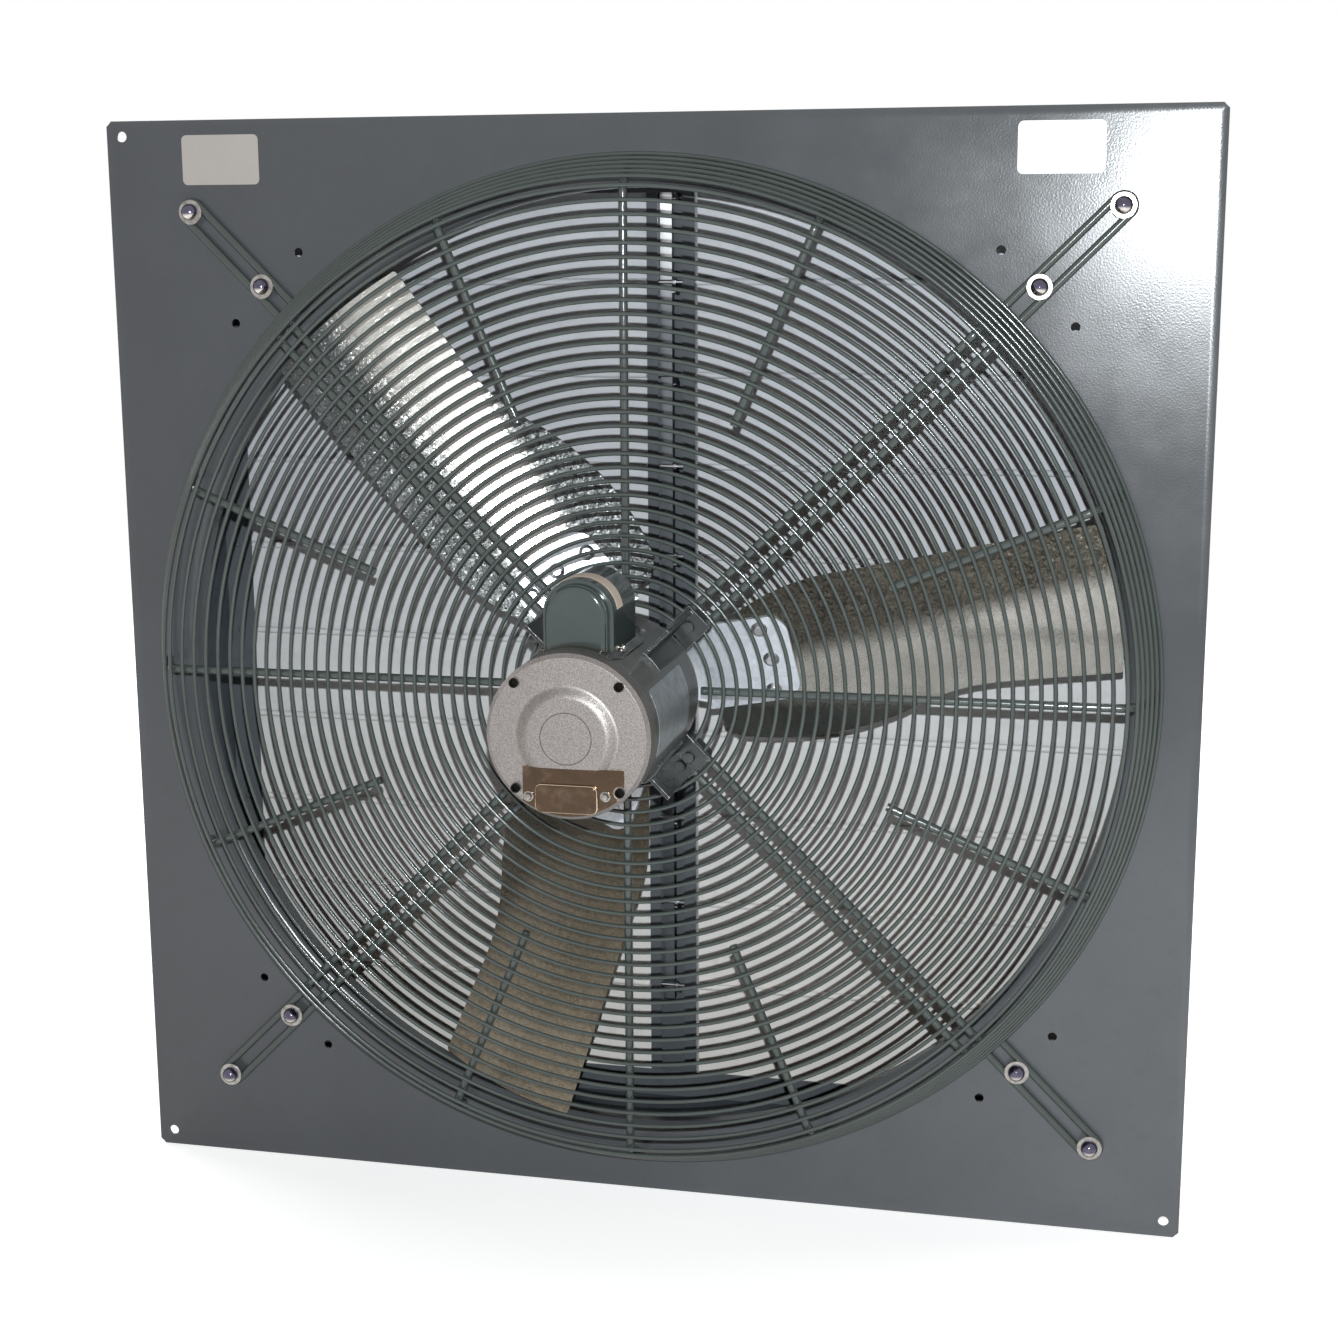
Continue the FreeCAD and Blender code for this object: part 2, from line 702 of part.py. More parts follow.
rivet_places = [polar(130.0, angle - lobe_lag) for angle in (-15.0, 0.0, 15.0)]
rivet_bores = []
rivets = []
for rivet_u, rivet_s in rivet_places:
    front = blade_face_y - spider_sheet
    back = blade_face_y + blade_sheet
    shank = drum(rivet_radius, front, back, rivet_u, rivet_s)
    head = Part.makeCone(rivet_head, 4.5, 3.5, FreeCAD.Vector(rivet_u, front, rivet_s), along_y * -1)
    tail = Part.makeCone(rivet_head - 1.0, 4.0, 3.0, FreeCAD.Vector(rivet_u, back, rivet_s), along_y)
    rivet_bores.append(on_lobe(drum(rivet_radius, front - 6, back + 6, rivet_u, rivet_s)))
    rivets.append(on_lobe(fused(shank, head, tail)))
blade_form = blade_form.cut(rivet_bores)
arm = arm.cut(rivet_bores)

spider = drum(disc_radius, blade_face_y - spider_sheet, blade_face_y)
all_rivets = []
for k in range(blade_count):
    angle = blade_angle + 360.0 * k / blade_count
    save("propeller_blade_" + str(k + 1), around_y(blade_form, angle))
    spider = spider.fuse(around_y(arm, angle))
    all_rivets += [around_y(rivet, angle) for rivet in rivets]
spider = spider.cut(drum(hub_spigot, -20, 20)).removeSplitter()
save("propeller_spider", spider)
save("blade_rivets", *all_rivets)

# The wall sleeve is four folded sheets, each with a narrow flange behind the panel.
sleeve_outer = sleeve_half + sleeve_sheet
flange_edge = sleeve_half - sleeve_flange
sleeve_section = [
    (0, flange_edge),
    (0, sleeve_outer),
    (sleeve_depth, sleeve_outer),
    (sleeve_depth, sleeve_half),
    (sleeve_sheet, sleeve_half),
    (sleeve_sheet, flange_edge),
]
sleeve_top = folded(sleeve_section, "x", -sleeve_outer, sleeve_outer)
sleeve_side = folded(sleeve_section, "z", -sleeve_half, sleeve_half)
side_trim = []
for low, high in ((-sleeve_half, -flange_edge), (flange_edge, sleeve_half)):
    side_trim.append(block(flange_edge - 1, sleeve_outer + 1, -1, sleeve_sheet, low, high))
sleeve_side = sleeve_side.cut(side_trim)
up = FreeCAD.Vector(0, 0, 1)
save("sleeve_top", sleeve_top)
save("sleeve_bottom", mirrored(sleeve_top, up))
save("sleeve_right", sleeve_side)
save("sleeve_left", mirrored(sleeve_side, along_x))

# The shutter frame is four angles inside the sleeve; the jambs carry the row pivots.
frame_web = sleeve_half - sleeve_sheet
frame_back_y = frame_face_y + sleeve_sheet
frame_end_y = frame_face_y + frame_depth
frame_section = [
    (frame_face_y, frame_opening),
    (frame_face_y, sleeve_half),
    (frame_end_y, sleeve_half),
    (frame_end_y, frame_web),
    (frame_back_y, frame_web),
    (frame_back_y, frame_opening),
]
jamb = folded(frame_section, "z", -sleeve_half, sleeve_half)
pivot_heights = [first_pivot_z - row_pitch * k for k in range(row_count)]
pivot_bores = []
for z in pivot_heights:
    start = FreeCAD.Vector(frame_web - 1, pivot_y, z)
    pivot_bores.append(Part.makeCylinder(pivot_radius + running_clearance, 3 * sleeve_sheet, start, along_x))
jamb = jamb.cut(pivot_bores)
head_rail = folded(frame_section, "x", -frame_web, frame_web)
rail_trim = []
for low, high in ((-frame_web - 1, -frame_opening), (frame_opening, frame_web + 1)):
    rail_trim.append(block(low, high, frame_face_y - 1, frame_back_y, frame_opening - 1, sleeve_half + 1))
head_rail = head_rail.cut(rail_trim)
save("shutter_jamb_right", jamb)
save("shutter_jamb_left", mirrored(jamb, along_x))
save("shutter_head", head_rail)
save("shutter_sill", mirrored(head_rail, up))

# The mullion is a lipped channel, open in front, that hides the cranks and the tie bar.
mullion_back = frame_back_y + mullion_depth
mullion_section = [
    (frame_back_y, -mullion_half),
    (mullion_back, -mullion_half),
    (mullion_back, mullion_half),
    (frame_back_y, mullion_half),
    (frame_back_y, mullion_half - mullion_right_lip),
    (frame_back_y + sleeve_sheet, mullion_half - mullion_right_lip),
    (frame_back_y + sleeve_sheet, mullion_half - sleeve_sheet),
    (mullion_back - sleeve_sheet, mullion_half - sleeve_sheet),
    (mullion_back - sleeve_sheet, -mullion_half + sleeve_sheet),
    (frame_back_y + sleeve_sheet, -mullion_half + sleeve_sheet),
    (frame_back_y + sleeve_sheet, -mullion_half + mullion_left_lip),
    (frame_back_y, -mullion_half + mullion_left_lip),
]
mullion = folded(mullion_section, "z", -frame_web, frame_web)
mullion_bores = []
for z in pivot_heights:
    start = FreeCAD.Vector(-mullion_half - 1, pivot_y, z)
    mullion_bores.append(Part.makeCylinder(pivot_radius + 0.5, 2 * mullion_half + 2, start, along_x))
save("shutter_mullion", mullion.cut(mullion_bores))

# A row is a left and a right sheet hemmed round one pivot rod, with a crank inside the mullion.
lap = 8.0
drop = row_pitch + lap
sheet_section = [
    (pivot_y + 2.1, 0),
    (pivot_y + hem_radius, 0),
    (pivot_y + 5.7, -drop + 2),
    (pivot_y + 8.8, -drop - 1),
    (pivot_y + 8.1, -drop - 1.9),
    (pivot_y + 4.6, -drop + 1.6),
]
sheet_inner = mullion_half + blade_gap
sheet_outer = frame_web - blade_gap
hem_start = FreeCAD.Vector(sheet_inner, pivot_y, 0)
hem = Part.makeCylinder(hem_radius, sheet_outer - sheet_inner, hem_start, along_x)
rod_bore = Part.makeCylinder(pivot_radius, 2 * sleeve_half, FreeCAD.Vector(-sleeve_half, pivot_y, 0), along_x)
right_sheet = fused(folded(sheet_section, "x", sheet_inner, sheet_outer), hem).cut(rod_bore)
left_sheet = mirrored(right_sheet, along_x)

rod_half = sleeve_half - 0.2
rod_start = FreeCAD.Vector(-rod_half, pivot_y, 0)
pivot_rod = Part.makeCylinder(pivot_radius, 2 * rod_half, rod_start, along_x)
pin_y = crank_length * math.cos(math.radians(crank_angle))
pin_z = crank_length * math.sin(math.radians(crank_angle))
pin_start = FreeCAD.Vector(tie_left - 1, pivot_y + pin_y, pin_z)
crank_pin = Part.makeCylinder(crank_pin_radius, crank_x - tie_left + 1, pin_start, along_x)
arm_plate = Part.makeBox(crank_sheet, crank_length, 5.0, FreeCAD.Vector(crank_x, pivot_y, -2.5))
arm_plate.rotate(FreeCAD.Vector(0, pivot_y, 0), along_x, crank_angle)
rod_boss = Part.makeCylinder(4.0, crank_sheet, FreeCAD.Vector(crank_x, pivot_y, 0), along_x)
pin_boss = Part.makeCylinder(2.5, crank_sheet, FreeCAD.Vector(crank_x, pivot_y + pin_y, pin_z), along_x)
crank = fused(arm_plate, rod_boss, pin_boss, crank_pin).cut(rod_bore)

for k, z in enumerate(pivot_heights):
    row = str(k + 1).zfill(2)
    lift = FreeCAD.Vector(0, 0, z)
    save("shutter_blades_" + row, left_sheet.translated(lift), right_sheet.translated(lift))
    save("shutter_pivot_" + row, pivot_rod.translated(lift), crank.translated(lift))

# One channel-shaped tie bar joins the crank pins, so that all rows open together.
tie_front = pivot_y + pin_y - 7.0
tie_back = pivot_y + pin_y + 5.0
tie_section = [
    (tie_back, tie_left),
    (tie_front, tie_left),
    (tie_front, tie_right),
    (tie_back, tie_right),
    (tie_back, tie_right - tie_sheet),
    (tie_front + tie_sheet, tie_right - tie_sheet),
    (tie_front + tie_sheet, tie_left + tie_sheet),
    (tie_back, tie_left + tie_sheet),
]
tie_end = 8.0
tie_bar = folded(tie_section, "z", pivot_heights[-1] + pin_z - tie_end, pivot_heights[0] + pin_z + tie_end)
tie_bores = []
for k, z in enumerate(pivot_heights):
    clearance = running_clearance if k == 0 else 0.35
    start = FreeCAD.Vector(tie_left - 1, pivot_y + pin_y, z + pin_z)
    tie_bores.append(Part.makeCylinder(crank_pin_radius + clearance, 14, start, along_x))
save("shutter_tie_bar", tie_bar.cut(tie_bores))
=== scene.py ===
import bmesh
import bpy
import math
from mathutils import Matrix, Vector


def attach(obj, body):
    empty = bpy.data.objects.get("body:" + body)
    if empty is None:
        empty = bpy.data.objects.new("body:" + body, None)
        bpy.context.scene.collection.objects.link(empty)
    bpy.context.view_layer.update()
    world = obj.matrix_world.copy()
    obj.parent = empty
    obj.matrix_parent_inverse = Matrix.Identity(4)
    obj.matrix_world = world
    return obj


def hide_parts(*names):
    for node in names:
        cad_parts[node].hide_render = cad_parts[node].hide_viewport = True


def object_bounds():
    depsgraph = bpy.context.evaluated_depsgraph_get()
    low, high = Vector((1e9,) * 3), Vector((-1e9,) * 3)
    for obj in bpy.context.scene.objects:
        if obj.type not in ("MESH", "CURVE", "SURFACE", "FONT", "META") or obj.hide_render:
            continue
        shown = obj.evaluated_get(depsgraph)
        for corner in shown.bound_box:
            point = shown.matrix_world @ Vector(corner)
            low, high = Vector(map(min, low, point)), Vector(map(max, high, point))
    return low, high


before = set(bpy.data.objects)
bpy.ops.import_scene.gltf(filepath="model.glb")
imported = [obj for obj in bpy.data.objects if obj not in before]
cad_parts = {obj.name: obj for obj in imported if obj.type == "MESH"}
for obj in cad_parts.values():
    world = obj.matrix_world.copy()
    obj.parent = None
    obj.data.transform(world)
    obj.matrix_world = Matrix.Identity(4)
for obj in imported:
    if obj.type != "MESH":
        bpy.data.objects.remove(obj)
cad_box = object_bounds()

# Viewpoint: the fan stands upright and is seen from its motor side,
# a little from the right and from above the middle.
scene = bpy.context.scene
lens_data = bpy.data.cameras.new("viewpoint")
lens_data.lens = 57.41
lens_data.sensor_width = 36.0
viewpoint = bpy.data.objects.new("viewpoint", lens_data)
look_right = Vector((0.97548, 0.22004, -0.00421))
look_up = Vector((-0.03926, 0.19284, 0.98045))
look_back = Vector((0.21655, -0.95624, 0.19675))
stand = Matrix((look_right, look_up, look_back)).transposed().to_4x4()
stand.translation = Vector((0.4742, -1.9683, 0.4131))
viewpoint.matrix_world = stand
scene.collection.objects.link(viewpoint)
scene.camera = viewpoint
scene.view_settings.view_transform = "Standard"

# Wall sleeve: four folded steel sheets that line the wall opening behind the panel.
# Galvanised steel under a thin grey paint, dulled by dust on the inside.


def tint(red, green, blue):
    """Display colour in 0 to 255 as a linear colour."""
    linear = []
    for level in (red, green, blue):
        share = level / 255.0
        linear.append(share / 12.92 if share <= 0.04045 else ((share + 0.055) / 1.055) ** 2.4)
    return (linear[0], linear[1], linear[2], 1.0)


def add(tree, kind, sockets=(), **settings):
    """New node with its settings, and its sockets given values or links, by name or in order."""
    node = tree.nodes.new(kind)
    for setting, value in settings.items():
        setattr(node, setting, value)
    for socket, value in sockets.items() if isinstance(sockets, dict) else enumerate(sockets):
        if isinstance(value, bpy.types.NodeSocket):
            tree.links.new(value, node.inputs[socket])
        else:
            node.inputs[socket].default_value = value
    return node


def placed(tree):
    """Where a point lies in the piece's own coordinates."""
    return add(tree, "ShaderNodeTexCoord").outputs["Object"]


def noise(tree, place, scale, detail, roughness=0.5):
    """Cloudy pattern of values about the middle of 0 to 1."""
    sockets = {"Vector": place, "Scale": scale, "Detail": detail, "Roughness": roughness}
    return add(tree, "ShaderNodeTexNoise", sockets).outputs[0]


def ranged(tree, value, low, high, start=0.0, end=1.0, **settings):
    """Value that goes from start to end while another goes from low to high."""
    return add(tree, "ShaderNodeMapRange", (value, low, high, start, end), **settings).outputs[0]


def calc(tree, operation, *values, **settings):
    """Result of one step of arithmetic."""
    return add(tree, "ShaderNodeMath", values, operation=operation, **settings).outputs[0]


def mixed(tree, share, first, second):
    """Colour that lies a share of the way from the first to the second."""
    return add(tree, "ShaderNodeMix", {0: share, 6: first, 7: second}, data_type="RGBA").outputs[2]


def shaded(tree, colour, value):
    """Colour made lighter or darker."""
    return add(tree, "ShaderNodeHueSaturation", {"Color": colour, "Value": value}).outputs[0]


def effect(name, colours, levels):
    """Shader group with inputs for colours and levels, that will make a colour, a roughness and a height."""
    group = bpy.data.node_groups.new(name, "ShaderNodeTree")
    for labels, kind in ((colours, "NodeSocketColor"), (levels, "NodeSocketFloat")):
        for label in labels:
            group.interface.new_socket(label, in_out="INPUT", socket_type=kind)
    for label, kind in (("Colour", "Color"), ("Roughness", "Float"), ("Height", "Float")):
        group.interface.new_socket(label, in_out="OUTPUT", socket_type="NodeSocket" + kind)
    return group, group.nodes.new("NodeGroupInput").outputs


def complete(group, *results):
    """Hand out an effect's colour, roughness and height."""
    for end, result in zip(group.nodes.new("NodeGroupOutput").inputs, results):
        group.links.new(result, end)


# Sprayed paint: slow shade changes, dirt in scattered patches, and a fine orange-peel surface.
paint_skin, given = effect("paint_skin", ["Colour"], ["Shade", "Grime", "Gloss", "Peel Scale"])
place = placed(paint_skin)
broad = noise(paint_skin, place, scale=9.0, detail=4.0, roughness=0.6)
swing = ranged(paint_skin, broad, 0.3, 0.7, -1.0, 1.0)
lift = calc(paint_skin, "MULTIPLY_ADD", swing, given["Shade"], 1.0)
specks = noise(paint_skin, place, scale=55.0, detail=8.0, roughness=0.72)
dirty = calc(paint_skin, "MULTIPLY", ranged(paint_skin, specks, 0.52, 0.78), given["Grime"])
gloss_change = 0.05
dirt_dulling = 0.3
worn = calc(paint_skin, "MULTIPLY_ADD", swing, gloss_change, given["Gloss"])
complete(
    paint_skin,
    mixed(paint_skin, dirty, shaded(paint_skin, given["Colour"], lift), tint(52, 44, 36)),
    calc(paint_skin, "MULTIPLY_ADD", dirty, dirt_dulling, worn),
    noise(paint_skin, place, given["Peel Scale"], detail=2.0),
)


def coated(name, effect_group, values, relief, shader_values):
    """Finish that a shared effect makes, with its own values for the effect, the relief and the shader."""
    material = bpy.data.materials.new(name)
    material.use_nodes = True
    tree = material.node_tree
    shader = tree.nodes["Principled BSDF"].inputs
    for label, value in shader_values.items():
        shader[label].default_value = value
    skin = add(tree, "ShaderNodeGroup", values, node_tree=effect_group, name="skin")
    sockets = {"Strength": 1.0, "Distance": relief, "Height": skin.outputs["Height"]}
    bump = add(tree, "ShaderNodeBump", sockets, name="relief")
    tree.links.new(skin.outputs["Colour"], shader["Base Color"])
    tree.links.new(skin.outputs["Roughness"], shader["Roughness"])
    tree.links.new(bump.outputs[0], shader["Normal"])
    return material


def painted(name, colour, shade, grime, gloss, peel_scale, relief, shine=0.5):
    """Paint finish with its own colour, shade changes, dirt, gloss, relief and shine."""
    values = {"Colour": colour, "Shade": shade, "Grime": grime, "Gloss": gloss, "Peel Scale": peel_scale}
    return coated(name, paint_skin, values, relief, {"Specular IOR Level": shine})


def show(piece, body, slot, *nodes):
    """Put a finished piece in the scene, on its body, with the nodes it stands for; the finish slot is not
    used.
    """
    if piece.name not in scene.collection.objects:
        scene.collection.objects.link(piece)
    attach(piece, body)
    if nodes:
        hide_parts(*nodes)


def settled(piece):
    """Turn a piece with live modifiers into a plain mesh."""
    scene.collection.objects.link(piece)
    ready = piece.evaluated_get(bpy.context.evaluated_depsgraph_get())
    mesh = bpy.data.meshes.new_from_object(ready)
    piece.modifiers.clear()
    piece.data = mesh
    mesh.name = piece.name
    return piece


def meshed(name, form):
    """Mesh of a form that is done."""
    mesh = bpy.data.meshes.new(name)
    form.to_mesh(mesh)
    form.free()
    return mesh


def dressed(node, body, material, slot, easing, edge=None):
    """The node's own form with facets joined, edges eased, a finish, and perhaps a second finish on the eased
    edges as a painted edge highlight.
    """
    same_point = 0.000002
    same_plane = math.radians(0.6)
    crease = math.radians(32)
    form = bmesh.new()
    form.from_mesh(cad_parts[node].data)
    bmesh.ops.remove_doubles(form, verts=form.verts, dist=same_point)
    bmesh.ops.dissolve_limit(form, angle_limit=same_plane, verts=form.verts, edges=form.edges)
    mesh = meshed(node + "_skin", form)
    mesh.materials.clear()
    mesh.materials.append(material)
    if edge:
        mesh.materials.append(edge)
    mesh.shade_smooth()
    mesh.set_sharp_from_angle(angle=crease)
    piece = bpy.data.objects.new(node + "_skin", mesh)
    if easing:
        bevel = piece.modifiers.new("eased edges", "BEVEL")
        bevel.width = easing
        bevel.segments = 2
        bevel.limit_method = "ANGLE"
        bevel.angle_limit = crease
        if edge:
            bevel.material = 1
    flats = piece.modifiers.new("flat faces stay flat", "WEIGHTED_NORMAL")
    flats.keep_sharp = True
    flats.weight = 100
    show(settled(piece), body, slot, node)
    return piece


sleeve_finish = painted("sleeve_finish", tint(74, 79, 84), shade=0.14, grime=0.5, gloss=0.45,
                        peel_scale=300.0, relief=0.00004, shine=0.15)
for side in ("top", "bottom", "left", "right"):
    dressed("sleeve_" + side, "housing", sleeve_finish, "sleeve_paint", easing=0.0003)

# Shutter frame: four angle sections inside the sleeve and a lipped channel down the middle.
# Roll-formed steel in blue-grey paint.
frame_finish = painted("frame_finish", tint(84, 88, 92), shade=0.1, grime=0.35, gloss=0.4,
                       peel_scale=340.0, relief=0.00003, shine=0.15)
for rail in ("shutter_head", "shutter_sill", "shutter_jamb_left", "shutter_jamb_right", "shutter_mullion"):
    dressed(rail, "housing", frame_finish, "frame_paint", easing=0.0003)

# Jamb rivets: small dome-head rivets down both side angles, one beside each pivot rod.
# Steel, painted over with the frame.


def geometry_tree(name, inputs):
    """Geometry node tree that is given a mesh and named inputs."""
    tree = bpy.data.node_groups.new(name, "GeometryNodeTree")
    for end in ("INPUT", "OUTPUT"):
        tree.interface.new_socket("Geometry", in_out=end, socket_type="NodeSocketGeometry")
    for label, kind in inputs.items():
        tree.interface.new_socket(label, in_out="INPUT", socket_type="NodeSocket" + kind)
    return tree, tree.nodes.new("NodeGroupInput").outputs


def hand_out(tree, mesh, material):
    """End a geometry node tree with its mesh in a finish."""
    coat = add(tree, "GeometryNodeSetMaterial", {"Geometry": mesh, "Material": material})
    tree.links.new(coat.outputs[0], tree.nodes.new("NodeGroupOutput").inputs[0])


def grown(name, mesh, tree, values):
    """Plain mesh object that a geometry node tree makes from a starting mesh."""
    piece = bpy.data.objects.new(name, mesh)
    modifier = piece.modifiers.new(name, "NODES")
    modifier.node_group = tree
    for socket in tree.interface.items_tree:
        if socket.in_out == "INPUT" and socket.name in values:
            modifier[socket.identifier] = values[socket.name]
    return settled(piece)


def note(mesh, name, values):
    """Write one value on each point of a mesh."""
    mesh.attributes.new(name, "FLOAT", "POINT").data.foreach_set("value", values)


def path_mesh(name, points, bends=()):
    """Open chain of points with a bend radius on each, or loose points."""
    mesh = bpy.data.meshes.new(name)
    edges = [(k, k + 1) for k in range(len(points) - 1)] if bends else []
    mesh.from_pydata(points, edges, [])
    if bends:
        note(mesh, "bend", bends)
    return mesh


def lathe(name, profile, sides):
    """Turned form about Y from (radius, y) points; a third word makes that ring a hexagon."""
    form = bmesh.new()
    rows = []
    on_axis = 0.000001
    half_flat = math.pi / 6
    crease = math.radians(40)
    for radius, y, *hexagon in profile:
        if radius < on_axis:
            rows.append([form.verts.new((0.0, y, 0.0))])
            continue
        ring = []
        for k in range(sides):
            t = 2 * math.pi * k / sides
            flat = math.cos(half_flat) / math.cos(t % (2 * half_flat) - half_flat) if hexagon else 1.0
            ring.append(form.verts.new((radius * flat * math.cos(t), y, radius * flat * math.sin(t))))
        rows.append(ring)
    for first, second in zip(rows, rows[1:]):
        for k in range(sides):
            corners = [first[k % len(first)], first[(k + 1) % len(first)]]
            corners += [second[(k + 1) % len(second)], second[k % len(second)]]
            form.faces.new(list(dict.fromkeys(corners)))
    bmesh.ops.recalc_face_normals(form, faces=form.faces)
    mesh = meshed(name, form)
    mesh.shade_smooth()
    mesh.set_sharp_from_angle(angle=crease)
    return bpy.data.objects.new(name, mesh)


copies_tree, given = geometry_tree("set_of_fasteners", {
    "Pattern": "Object", "Turn": "Vector", "Finish": "Material",
})
pattern = add(copies_tree, "GeometryNodeObjectInfo", {"Object": given["Pattern"]})
copies = add(copies_tree, "GeometryNodeInstanceOnPoints", {
    "Points": given["Geometry"], "Instance": pattern.outputs["Geometry"], "Rotation": given["Turn"],
})
loose = add(copies_tree, "GeometryNodeRealizeInstances", (copies.outputs[0],))
hand_out(copies_tree, loose.outputs[0], given["Finish"])


def set_of(name, pattern_form, points, material, turn=(0.0, 0.0, 0.0)):
    """Copies of one turned or formed pattern at the given points."""
    scene.collection.objects.link(pattern_form)
    piece = grown(name, path_mesh(name, points), copies_tree, {
        "Pattern": pattern_form, "Turn": turn, "Finish": material,
    })
    bpy.data.objects.remove(pattern_form)
    return piece


rivet = [
    (0.0, -0.0022), (0.0016, -0.0019), (0.0028, -0.001), (0.0032, 0.0),
    (0.0016, 0.0), (0.0016, 0.003), (0.0, 0.003),
]
jamb_x = 0.476
jamb_y = 0.139
top_rivet = 0.4652
row_pitch = 0.0922
row_count = 10
rivet_levels = [top_rivet - row_pitch * row for row in range(row_count)]
rivet_places = [(side * jamb_x, jamb_y, level) for side in (-1, 1) for level in rivet_levels]
rivets = set_of("jamb_rivets", lathe("jamb_rivet", rivet, sides=16), rivet_places, frame_finish)
show(rivets, "housing", "frame_paint")

# Shutter rows: pairs of thin sheets hemmed round a pivot rod, lapping over the row below.
# Pale grey painted sheet with faint rolling streaks across, and painted light that makes the lower rows paler;
# the rods and cranks are zinc plated.
sheet_grey = tint(186, 188, 192)
sheet_finish = painted("sheet_finish", sheet_grey, shade=0.04, grime=0.16, gloss=0.46,
                       peel_scale=500.0, relief=0.00002, shine=0.1)
tree = sheet_finish.node_tree
place = placed(tree)
drawn_out = add(tree, "ShaderNodeMapping", {"Vector": place, "Scale": (3.0, 40.0, 55.0)})
streak = noise(tree, drawn_out.outputs[0], scale=1.0, detail=3.0)
streaked = mixed(tree, ranged(tree, streak, 0.3, 0.7), sheet_grey, tint(196, 198, 202))
# Painted light: the sheet's colour turns paler and warmer towards the lower rows.
level = add(tree, "ShaderNodeSeparateXYZ", (place,)).outputs["Z"]
painted_lower_light = mixed(tree, ranged(tree, level, 0.2, -0.45), streaked, tint(226, 222, 216))
tree.links.new(painted_lower_light, tree.nodes["skin"].inputs["Colour"])

# Plated metal: fine polishing grain, handling marks and a soft change of tone.
plated_skin, given = effect("plated_skin", ["Colour"], ["Marks", "Mark Scale", "Polish", "Grain Scale"])
place = placed(plated_skin)
tone = noise(plated_skin, place, given["Mark Scale"], detail=6.0, roughness=0.65)
marked = calc(plated_skin, "MULTIPLY", ranged(plated_skin, tone, 0.42, 0.75), given["Marks"])
mark_dulling = 0.35
complete(
    plated_skin,
    mixed(plated_skin, marked, given["Colour"], tint(60, 54, 46)),
    calc(plated_skin, "MULTIPLY_ADD", marked, mark_dulling, given["Polish"]),
    noise(plated_skin, place, given["Grain Scale"], detail=3.0),
)


def plated(name, colour, metallic, marks, polish, grain_scale, relief, mark_scale=42.0):
    """Bare or plated metal with its own colour, handling marks, polish and grain."""
    values = {
        "Colour": colour, "Marks": marks, "Mark Scale": mark_scale,
        "Polish": polish, "Grain Scale": grain_scale,
    }
    return coated(name, plated_skin, values, relief, {"Metallic": metallic})


zinc_finish = plated("zinc_finish", tint(188, 190, 192), metallic=1.0, marks=0.25, polish=0.28,
                     grain_scale=700.0, relief=0.00001)
for row in range(1, row_count + 1):
    tag = "_%02d" % row
    dressed("shutter_blades" + tag, "shutter_row" + tag, sheet_finish, "shutter_sheet", easing=0.0002)
    dressed("shutter_pivot" + tag, "shutter_row" + tag, zinc_finish, "zinc_plate", easing=0.0002)

# Tie bar: one small channel on the crank pins, so that all rows open together.
# Zinc-plated steel strip, with a painted highlight that turns its upper end white.


def overlay(material, share, colour):
    """Lay a second colour over a finish, by a share."""
    tree = material.node_tree
    base = tree.nodes["Principled BSDF"].inputs["Base Color"]
    tree.links.new(mixed(tree, share, base.links[0].from_socket, colour), base)


bar_finish = plated("bar_finish", tint(104, 108, 112), metallic=1.0, marks=0.45, polish=0.34,
                    grain_scale=500.0, relief=0.00002)
tree = bar_finish.node_tree
# Painted highlight: the bar's colour turns white towards its upper end.
level = add(tree, "ShaderNodeSeparateXYZ", (placed(tree),)).outputs["Z"]
overlay(bar_finish, ranged(tree, level, 0.345, 0.46), tint(248, 249, 250))
dressed("shutter_tie_bar", "tie_bar", bar_finish, "zinc_plate", easing=0.0002)

# Fan panel: one square steel sheet with a raised rim, drawn into a rolled lip round the throat.
# Mid-grey semi-gloss spray paint with a slight orange peel, painted paler towards the lower right corner as
# painted light.


def vector_calc(tree, operation, *values):
    """Result of one step of vector arithmetic."""
    node = add(tree, "ShaderNodeVectorMath", values, operation=operation)
    return node.outputs["Value" if operation in ("DOT_PRODUCT", "LENGTH") else "Vector"]


panel_grey = tint(80, 82, 85)
panel_finish = painted("panel_finish", panel_grey, shade=0.05, grime=0.12, gloss=0.2,
                       peel_scale=520.0, relief=0.00006, shine=0.36)
tree = panel_finish.node_tree
place = placed(tree)
# Painted light: the grey turns paler towards the lower right corner.
to_corner = vector_calc(tree, "DOT_PRODUCT", place, (0.7, 0.0, -0.7))
painted_light_grey = mixed(tree, ranged(tree, to_corner, 0.34, 0.66), panel_grey, tint(100, 102, 105))
tree.links.new(painted_light_grey, tree.nodes["skin"].inputs["Colour"])
wave = noise(tree, place, scale=4.5, detail=1.0)
wave_height = 0.0016
sag = vector_calc(tree, "DOT_PRODUCT", place, (0.0197, 0.0, -0.0085))
buckle = calc(tree, "MULTIPLY_ADD", wave, wave_height, sag)
waved = add(tree, "ShaderNodeBump", {"Strength": 1.0, "Distance": 1.0, "Height": buckle})
tree.links.new(waved.outputs[0], tree.nodes["relief"].inputs["Normal"])
dressed("fan_panel", "housing", panel_finish, "panel_paint", easing=0.0005)

# Labels on the panel: two small stickers near the top corners, left blank.
# The left one is matt paper, a little yellowed; the right one is glossier film, given a whiter tint as a
# painted highlight.
film_thickness = 0.0002
panel_front = -0.002


